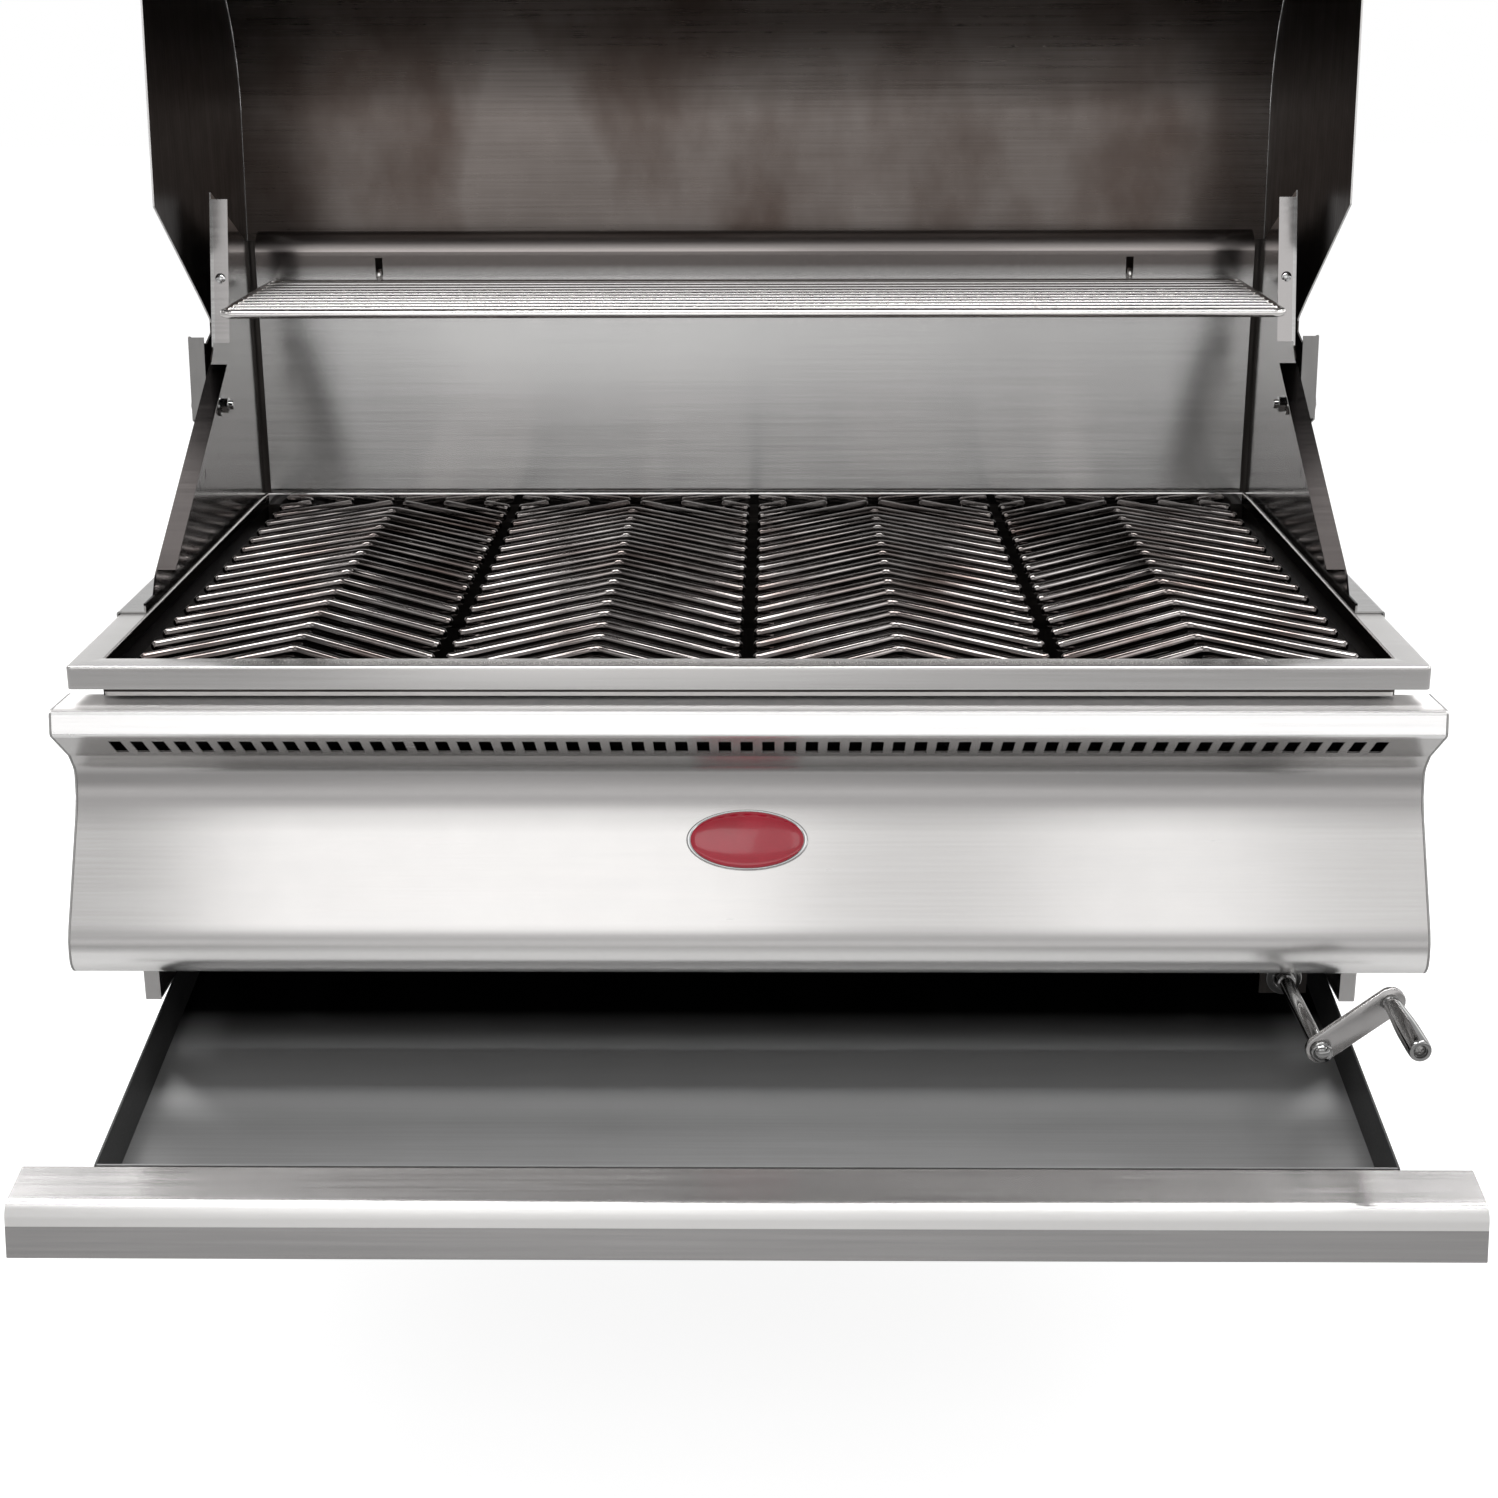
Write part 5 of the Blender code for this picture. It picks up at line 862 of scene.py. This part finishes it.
def build_hinge_bolts():
    """Each bolt as one piece, from its nut inside the side wall to its head outside the hood's tab."""
    across, nut_height, head_height, nut_drop = 13 * MM, 6.4 * MM, 3 * MM, 8.1 * MM
    bore, shank, chamfer, tail = 3.9 * MM, 4 * MM, 0.6 * MM, 4 * MM
    wall_in, wall_out = SIDE_X - GAP, SIDE_X + SHEET + GAP
    tab_in, tab_out = RIM_X - SHEET - GAP, RIM_X + GAP
    nut_in = wall_in - nut_drop
    tip = nut_in - tail
    for name, side in SIDES.items():
        matrix = facing(Vector((0, HINGE.y, HINGE.z)), RIGHT * side, Vector((0, 1, 0)))
        rod = [(0, tip), (shank - chamfer, tip), (shank, tip + chamfer), (shank, tab_out), (0, tab_out)]
        bm = turned(rod, matrix, 24)
        washer = [(3.9, -1.6), (10, -1.6), (10, 0), (3.9, 0)]
        turned(scaled(washer, wall_in), matrix, 32, True, bm)
        shoulder = [(bore, wall_out), (7 * MM, wall_out), (7 * MM, tab_in), (bore, tab_in)]
        turned(shoulder, matrix, 32, True, bm)
        hexagon(bm, across, nut_in, nut_in + nut_height, matrix)
        hexagon(bm, across, tab_out, tab_out + head_height, matrix)
        finished(f"{name}_bolt", bm, CHROME, "firebox", "chrome", f"{name}_hinge_bolt")


def crossed_head(bm, radius, height, base, matrix, slot=0.55 * MM, depth=1.1 * MM):
    """A domed screw head whose recess is a cross."""
    sides, count, dome, recess_share = 48, 14, 2.4, 0.62
    start = len(bm.verts)
    rings = []
    for number in range(count, -1, -1):
        share = number / count
        ring = []
        for place in range(sides if number else 1):
            angle = math.tau * place / sides
            x, y = radius * share * math.cos(angle), radius * share * math.sin(angle)
            z = base + height * (1 - share**dome)
            if min(abs(x), abs(y)) < slot and share < recess_share:
                z -= depth
            ring.append(bm.verts.new((x, y, z)))
        rings.append(ring)
    bridged(bm, rings)
    moved(bm, matrix, start)


def build_flange_screws():
    """The screws stand square on the slanting flanges, between the notch and the peak of the side walls."""
    notch = Vector((0, BACK_FACE_Y - 172 * MM, RIM_TOP + 166 * MM))
    peak = Vector((0, BACK_FACE_Y - 138.5 * MM, RIM_TOP + 300 * MM))
    height = RIM_TOP + 227 * MM
    along = (peak - notch).normalized()
    out = Vector((0, -along.z, along.y))
    spot = notch + along * ((height - notch.z) / along.z)
    shank = scaled([(0, -8.6), (1.6, -8.6), (2, -8), (2, 0.5), (0, 0.5)])
    for name in SIDES:
        low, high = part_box(f"{name}_flange_screw")
        centre = (low + high) / 2
        matrix = facing(Vector((centre.x, spot.y, spot.z)), out)
        bm = turned(shank, matrix, 16)
        crossed_head(bm, 4.4 * MM, 2.2 * MM, 0.4 * MM, matrix)
        finished(f"{name}_cross_screw", bm, CHROME, "firebox", "chrome", f"{name}_flange_screw", angle=30)


# Handle and thermometer
def build_handle():
    half, stand_off, post_x = 440 * MM, 48 * MM, 385 * MM
    matrix = facing(HANDLE_SPOT + FACE_NORMAL * stand_off, RIGHT, Vector((0, 1, 0)))
    ends = [(3, 1.5), (3, 0), (9.5, 0), (11.4, 0.9), (12.3, 2.4), (12.5, 4.2)]
    profile = scaled(ends, -half) + scaled([(radius, -height) for radius, height in ends[::-1]], half)
    finished("handle_tube", turned(profile, matrix, 40, True), CHROME, "hood", "chrome", "hood_handle")
    post = [(0, 0.3), (13, 0.3), (13, 2.4), (12.2, 3.4), (10, 4.6)]
    post += [(9, 6.5), (9, 31), (9.6, 34), (10.2, 35.2), (0, 35.2)]
    for name, side in SIDES.items():
        bm = turned(scaled(post), facing(HANDLE_SPOT + RIGHT * side * post_x, FACE_NORMAL), 36)
        finished(f"{name}_post", bm, CHROME, "hood", "chrome", f"{name}_handle_post")


def build_gauge():
    """The thermometer: its case, its dial with strokes and no numbers, and the needle's hub."""
    matrix = facing(GAUGE_SPOT, FACE_NORMAL)
    case = [(0, 0.3), (34, 0.3), (34, 8.6), (33.4, 10.2), (32, 11), (30.8, 10.8), (30, 10), (30, 4.6), (0, 4.6)]
    finished("gauge_case", turned(scaled(case), matrix, 64), CHROME, "hood", "chrome", "thermometer_case")
    dial = [(0, 4.7), (29.8, 4.7), (29.8, 5), (0, 5)]
    finished("gauge_dial", turned(scaled(dial), matrix, 64), DIAL, "hood", "brushed_steel")
    count, first, pitch, each = 28, -135, 10, 3
    outer, raised, thickness = 27.5 * MM, 4.95 * MM, 0.2 * MM
    marks = bmesh.new()
    for number in range(count):
        long = number % each == 0
        inner, half = (21 * MM, 0.7 * MM) if long else (24 * MM, 0.35 * MM)
        outline = [(-half, inner), (half, inner), (half, outer), (-half, outer)]
        turn = Matrix.Rotation(-math.radians(first + number * pitch), 4, "Z")
        plate(outline, matrix @ turn @ Matrix.Translation((0, 0, raised)), thickness, marks)
    finished("gauge_marks", marks, BLACK, "hood", "black_paint")
    hub = [(0, 4.9), (3, 4.9), (3, 6.6), (2.6, 7), (0, 7)]
    finished("gauge_hub", turned(scaled(hub), matrix, 24), CHROME, "hood", "chrome")


# Crank
def crank_matrix(local_x, y):
    """A frame on the crank whose Z looks to the front, at a distance along the arm."""
    spot = CRANK_AXIS + Vector((local_x * math.cos(CRANK_TURN), y, local_x * math.sin(CRANK_TURN)))
    return facing(spot, Vector((0, -1, 0)), Vector((math.cos(CRANK_TURN), 0, math.sin(CRANK_TURN))))


def build_crank_rod():
    """The shaft from the arm's seat to the end of the lift screw, with three collars at the panel."""
    axis = crank_matrix(0, 0)
    front, back = -ARM_FRONT, -ARM_BACK
    screw_start, screw_end, pitch = 220.3 * MM, -260.5 * MM, 3 * MM
    profile = scaled([(0, 5), (3.4, 5), (4, 4.4)], front) + [(4 * MM, back - GAP)]
    profile += [(5.2 * MM, back - GAP), (5.5 * MM, back - 0.8 * MM), (5.5 * MM, screw_start)]
    turn = screw_start
    while turn - pitch > screw_end:
        profile += scaled([(6, -0.5), (6, -1.2), (5.1, -1.9), (5.1, -2.4)], turn)
        turn -= pitch
    profile += scaled([(4.5, 0), (4.5, -12.6), (0, -13)], screw_end)
    bm = turned(profile, axis, 28)
    collar_start, collar_pitch = 318.2 * MM, 2.7 * MM
    collar = [(5.4, 0), (6.9, 0.2), (7.3, 0.9), (6.9, 1.7), (5.4, 1.9)]
    for number in range(3):
        turned(scaled(collar, collar_start + number * collar_pitch), axis, 28, True, bm)
    finished("crank_rod", bm, CRANK_CHROME, "crank", "chrome", "crank_shaft")


def build_crank_arm():
    """A strap with round ends and softened edges, and the nut that holds it."""
    radius, steps = 10.5 * MM, 16
    outline = []
    for centre, first in ((CRANK_REACH, -90), (0, 90)):
        for number in range(steps + 1):
            angle = math.radians(first + 180 * number / steps)
            outline.append((centre + radius * math.cos(angle), radius * math.sin(angle)))
    bm = bmesh.new()
    rings = []
    for height, inset in scaled([(0, 0.9), (0.3, 0.3), (0.9, 0), (4.1, 0), (4.7, 0.3), (5, 0.9)]):
        size = 1 - inset / radius
        ring = []
        for x, y in outline:
            centre = min(max(x, 0), CRANK_REACH)
            ring.append(bm.verts.new((centre + (x - centre) * size, y * size, height)))
        rings.append(ring)
    capped(bm, rings)
    moved(bm, crank_matrix(0, ARM_BACK))
    finished("crank_strap", bm, BRUSHED_ARM, "crank", "chrome", "crank_arm", angle=50)
    cap = [(0, 9.6), (2.4, 9.3), (4.6, 8.3), (6, 6.7), (6.4, 5.4)]
    cap += [(7.6, 5), (8, 4.4), (8, 0.4), (7.7, 0.1), (0, 0.1)]
    bm = turned(scaled(cap, -ARM_FRONT), crank_matrix(0, 0), 32)
    finished("crank_acorn_nut", bm, CRANK_CHROME, "crank", "chrome", "crank_nut")


def build_grip():
    """The turning sleeve and the spindle that carries it."""
    axis = crank_matrix(CRANK_REACH, 0)
    back = -ARM_BACK
    start = -ARM_FRONT + 0.6 * MM
    length = 76 * MM
    grip = [(3.4, 0), (6, 0), (6.4, 0.5), (6.4, 2.4), (5.7, 3), (5.7, 4.4), (6.3, 5)]
    grip += [(6.4, 12), (6.9, 22), (7.6, 34), (8.05, 46), (8.1, 58), (8.1, 70)]
    grip += [(7.9, 75.5), (7.7, 77.6), (7.2, 78.7), (6.4, 79), (5, 79), (4.9, 78.4), (4.9, 76), (3.4, 76)]
    bm = turned(scaled(grip, start), axis, 40, True)
    finished("grip_sleeve", bm, CRANK_CHROME, "grip", "chrome", "crank_grip")
    pin = scaled([(0, -2.7), (4.2, -2.7), (4.5, -2.3)], back)
    pin += [(4.5 * MM, back - GAP), (3 * MM, back - GAP), (3 * MM, start + length), (0, start + length)]
    bm = turned(pin, axis, 24)
    place = crank_matrix(CRANK_REACH, 0.1 * MM - start - length)
    crossed_head(bm, 4.5 * MM, 1.8 * MM, 0, place, 0.6 * MM, 1 * MM)
    finished("spindle_pin", bm, SHADED, "crank", "chrome", "grip_spindle", angle=30)


def build_bush():
    """The flanged bush in the panel that carries the crank's rod."""
    face = 312 * MM
    bush = [(5.8, -6.6), (9, -6.6), (9, 0), (13.2, 0), (13.5, 0.4), (13.5, 2.4)]
    bush += [(12.9, 3), (9.4, 3), (8.4, 4.4), (6.6, 4.4), (5.8, 3.8)]
    bm = turned(scaled(bush, face + GAP), crank_matrix(0, 0), 40, True)
    finished("flanged_bush", bm, CRANK_CHROME, "firebox", "bronze", "crank_bearing")


# CAD nodes that keep their shape
LOOKS = {
    "firebox_shell": SHELL,
    "left_side_wall": SIDE_STEEL,
    "right_side_wall": SIDE_STEEL,
    "left_end_cap": SHADED,
    "right_end_cap": SHADED,
    "left_drawer_rail": SHADED,
    "right_drawer_rail": SHADED,
    "left_panel_stay": SHADED,
    "right_panel_stay": SHADED,
    "crank_bracket": SOOTED_AND_SHADED,
    "screw_rear_bearing": BRONZE,
    "left_hood_side": HOOD_SIDE,
    "right_hood_side": HOOD_SIDE,
    "thermometer_needle": BLACK,
    "charcoal_tray": SOOTED_AND_SHADED,
    "left_ramp_plate": SHADED,
    "right_ramp_plate": SHADED,
    "slider_bar": SHADED,
    "lift_nut": BRONZE,
    "drawer_axle": CHROME,
    "left_drawer_glide": BLACK,
    "right_drawer_glide": BLACK,
    "drawer_tray": DRAWER,
}
for end in ("left_front", "left_rear", "right_front", "right_rear"):
    LOOKS[f"{end}_tray_guide"] = SHADED

# The shapes above, then the looks of the nodes that stay
build_rim()
build_panel()
build_drawer_front()
build_back_wall()
build_hood_shell()
build_grates()
build_rack()
build_badge()
build_corner_strips()
build_hinge_bolts()
build_flange_screws()
build_handle()
build_gauge()
build_crank_rod()
build_crank_arm()
build_grip()
build_bush()
for name, look in LOOKS.items():
    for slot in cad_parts[name].material_slots:
        slot.material = look


# Stage, lights and camera
FLOOR_Z = -0.56
FLOOR_REACH = 14
FLOOR_GREY = 0.35
FLOOR_GLOW = 0.88
CARD_HALF = 1.6
CARD_STOPS = ((0.1, 0.05), (0.25, 1.1), (0.5, 0.75), (0.73, 0.25), (0.87, 0.1))
CARD_BANDS = (
    (-2.9, -2.5, (0.18, 0.18, 0.18)),
    (-5.4, -6.2, (0.1, 0.085, 0.08)),
    (-2.0, -1.6, (0.22, 0.22, 0.22)),
)
SKY_STOPS = ((0.0, 1.4), (0.02, 1.75), (0.12, 1.65), (0.19, 0.72), (0.72, 0.72), (0.92, 0.3), (1.0, 0.25))
SKY_DIM = 0.35
SKY_DIM_FADE = (-0.85, -0.4)
CAMERA_SPOT = (0.0222, -1.9478, 0.4957)
CAMERA_LENS = 55.78


def graded(tree, source, stops):
    """Greys along a ramp, from its (place, value) stops."""
    ramp = add(tree, "ShaderNodeValToRGB")
    elements = ramp.color_ramp.elements
    for number, (spot, value) in enumerate(stops):
        stop = elements[number] if number < 2 else elements.new(spot)
        stop.position = spot
        stop.color = (value, value, value, 1)
    tree.links.new(source, ramp.inputs["Fac"])
    return ramp.outputs["Color"]


def build_floor():
    """A pale floor for the camera, which the polished sheets see as a graded card."""
    bm = bmesh.new()
    corners = [(x * FLOOR_REACH, y * FLOOR_REACH, FLOOR_Z) for x, y in ((-1, -1), (1, -1), (1, 1), (-1, 1))]
    bm.faces.new([bm.verts.new(corner) for corner in corners])
    mesh = bpy.data.meshes.new("floor")
    bm.to_mesh(mesh)
    bm.free()
    floor = bpy.data.objects.new("floor", mesh)
    bpy.context.scene.collection.objects.link(floor)
    made = bpy.data.materials.new("pale_floor")
    made.use_nodes = True
    tree = made.node_tree
    tree.nodes.clear()
    lit = add(tree, "ShaderNodeBsdfDiffuse")
    lit.inputs["Color"].default_value = (FLOOR_GREY, FLOOR_GREY, FLOOR_GREY, 1)
    glow = add(tree, "ShaderNodeEmission")
    path = add(tree, "ShaderNodeLightPath")
    seen = summed(tree, path.outputs["Is Camera Ray"], path.outputs["Is Transmission Ray"])
    card = graded(tree, ranged(tree, placed(tree, "X"), 0, 1, -CARD_HALF, CARD_HALF), CARD_STOPS)
    depth = placed(tree, "Y")
    for clear, full, colour in CARD_BANDS:
        card = blended(tree, ranged(tree, depth, 0, 1, clear, full), card, colour)
    tree.links.new(blended(tree, path.outputs["Is Glossy Ray"], (1, 1, 1), card), glow.inputs["Color"])
    shown = summed(tree, summed(tree, seen, FLOOR_GLOW, "MULTIPLY"), path.outputs["Is Glossy Ray"])
    tree.links.new(shown, glow.inputs["Strength"])
    total = add(tree, "ShaderNodeAddShader")
    out = add(tree, "ShaderNodeOutputMaterial")
    tree.links.new(lit.outputs["BSDF"], total.inputs[0])
    tree.links.new(glow.outputs["Emission"], total.inputs[1])
    tree.links.new(total.outputs["Shader"], out.inputs["Surface"])
    mesh.materials.append(made)


def build_world():
    """White for the camera, even grey for diffuse light, and a graded studio for reflections."""
    world = bpy.data.worlds.new("studio")
    bpy.context.scene.world = world
    world.use_nodes = True
    tree = world.node_tree
    tree.nodes.clear()
    sky = graded(tree, placed(tree, "Z", "Generated"), SKY_STOPS)
    shade = ranged(tree, placed(tree, "X", "Generated"), SKY_DIM, 1, *SKY_DIM_FADE)
    dimmed = add(tree, "ShaderNodeMix", data_type="RGBA", blend_type="MULTIPLY")
    dimmed.inputs["Factor"].default_value = 1
    tree.links.new(sky, dimmed.inputs[6])
    tree.links.new(shade, dimmed.inputs[7])
    mirrored = add(tree, "ShaderNodeBackground")
    tree.links.new(dimmed.outputs[2], mirrored.inputs["Color"])
    soft = add(tree, "ShaderNodeBackground")
    soft.inputs["Color"].default_value = (0.5, 0.5, 0.5, 1)
    white = add(tree, "ShaderNodeBackground")
    white.inputs["Color"].default_value = (1, 1, 1, 1)
    path = add(tree, "ShaderNodeLightPath")
    glossy = add(tree, "ShaderNodeMixShader")
    tree.links.new(path.outputs["Is Glossy Ray"], glossy.inputs[0])
    tree.links.new(soft.outputs[0], glossy.inputs[1])
    tree.links.new(mirrored.outputs[0], glossy.inputs[2])
    seen = summed(tree, path.outputs["Is Camera Ray"], path.outputs["Is Transmission Ray"], "MAXIMUM")
    final = add(tree, "ShaderNodeMixShader")
    tree.links.new(seen, final.inputs[0])
    tree.links.new(glossy.outputs[0], final.inputs[1])
    tree.links.new(white.outputs[0], final.inputs[2])
    out = add(tree, "ShaderNodeOutputWorld")
    tree.links.new(final.outputs[0], out.inputs["Surface"])


def softbox(name, spot, target, size, radiance, along=None):
    data = bpy.data.lights.new(name, "AREA")
    data.shape = "RECTANGLE"
    data.size, data.size_y = size
    data.energy = radiance * math.pi * size[0] * size[1]
    made = bpy.data.objects.new(name, data)
    made.location = spot
    made.rotation_mode = "QUATERNION"
    if along:
        turn = facing(Vector(spot), Vector(spot) - Vector(target), Vector(along)).to_quaternion()
    else:
        turn = (Vector(target) - Vector(spot)).to_track_quat("-Z", "Y")
    made.rotation_quaternion = turn
    bpy.context.scene.collection.objects.link(made)


def build_lights():
    softbox("front_wide", (0.08, -1.75, 1.0), (0.04, -0.3, -0.12), (2.0, 0.7), 0.4)
    softbox("front_left", (-0.4, -1.72, 0.99), (-0.18, -0.3, -0.12), (0.9, 0.7), 0.78)
    softbox("front_right", (0.6, -1.72, 0.99), (0.3, -0.3, -0.12), (0.34, 0.7), 0.6)
    softbox("top_strip", (0, -0.35, 1.9), (0, -0.1, 0), (2.6, 0.4), 10)
    softbox("left_box", (-2.2, -0.6, 1.3), (0, 0, 0), (0.9, 0.9), 1.0)
    softbox("right_box", (2.2, -0.2, 1.3), (0, 0, 0), (1.3, 0.9), 2.4)
    softbox("back_box", (0.3, 2.3, 1.6), (0, 0.1, 0.1), (1.4, 0.8), 1.2)
    softbox("right_slant", (1.25, 0.75, 1.9), (1.25, 0.75, 0), (2.9, 0.24), 14, (0.751, 0.66, 0))
    softbox("left_slant", (-1.25, 0.75, 1.9), (-1.25, 0.75, 0), (2.9, 0.24), 15, (0.751, -0.66, 0))


def build_camera():
    """The photograph's camera, as solved from its parallel edges."""
    pitch, yaw, roll = math.radians(18.361), math.radians(-0.72), math.radians(-0.191)
    ahead = Vector((math.sin(yaw) * math.cos(pitch), math.cos(yaw) * math.cos(pitch), -math.sin(pitch)))
    right = Vector((math.cos(yaw), -math.sin(yaw), 0))
    up = right.cross(ahead)
    rolled_right = right * math.cos(roll) + up * math.sin(roll)
    rolled_up = up * math.cos(roll) - right * math.sin(roll)
    data = bpy.data.cameras.new("photo_camera")
    data.lens = CAMERA_LENS
    data.sensor_width = 36
    made = bpy.data.objects.new("photo_camera", data)
    turn = Matrix((rolled_right, rolled_up, -ahead)).transposed().to_4x4()
    made.matrix_world = Matrix.Translation(CAMERA_SPOT) @ turn
    bpy.context.scene.collection.objects.link(made)
    bpy.context.scene.camera = made


build_floor()
build_world()
build_lights()
build_camera()
bpy.context.scene.view_settings.view_transform = "Standard"
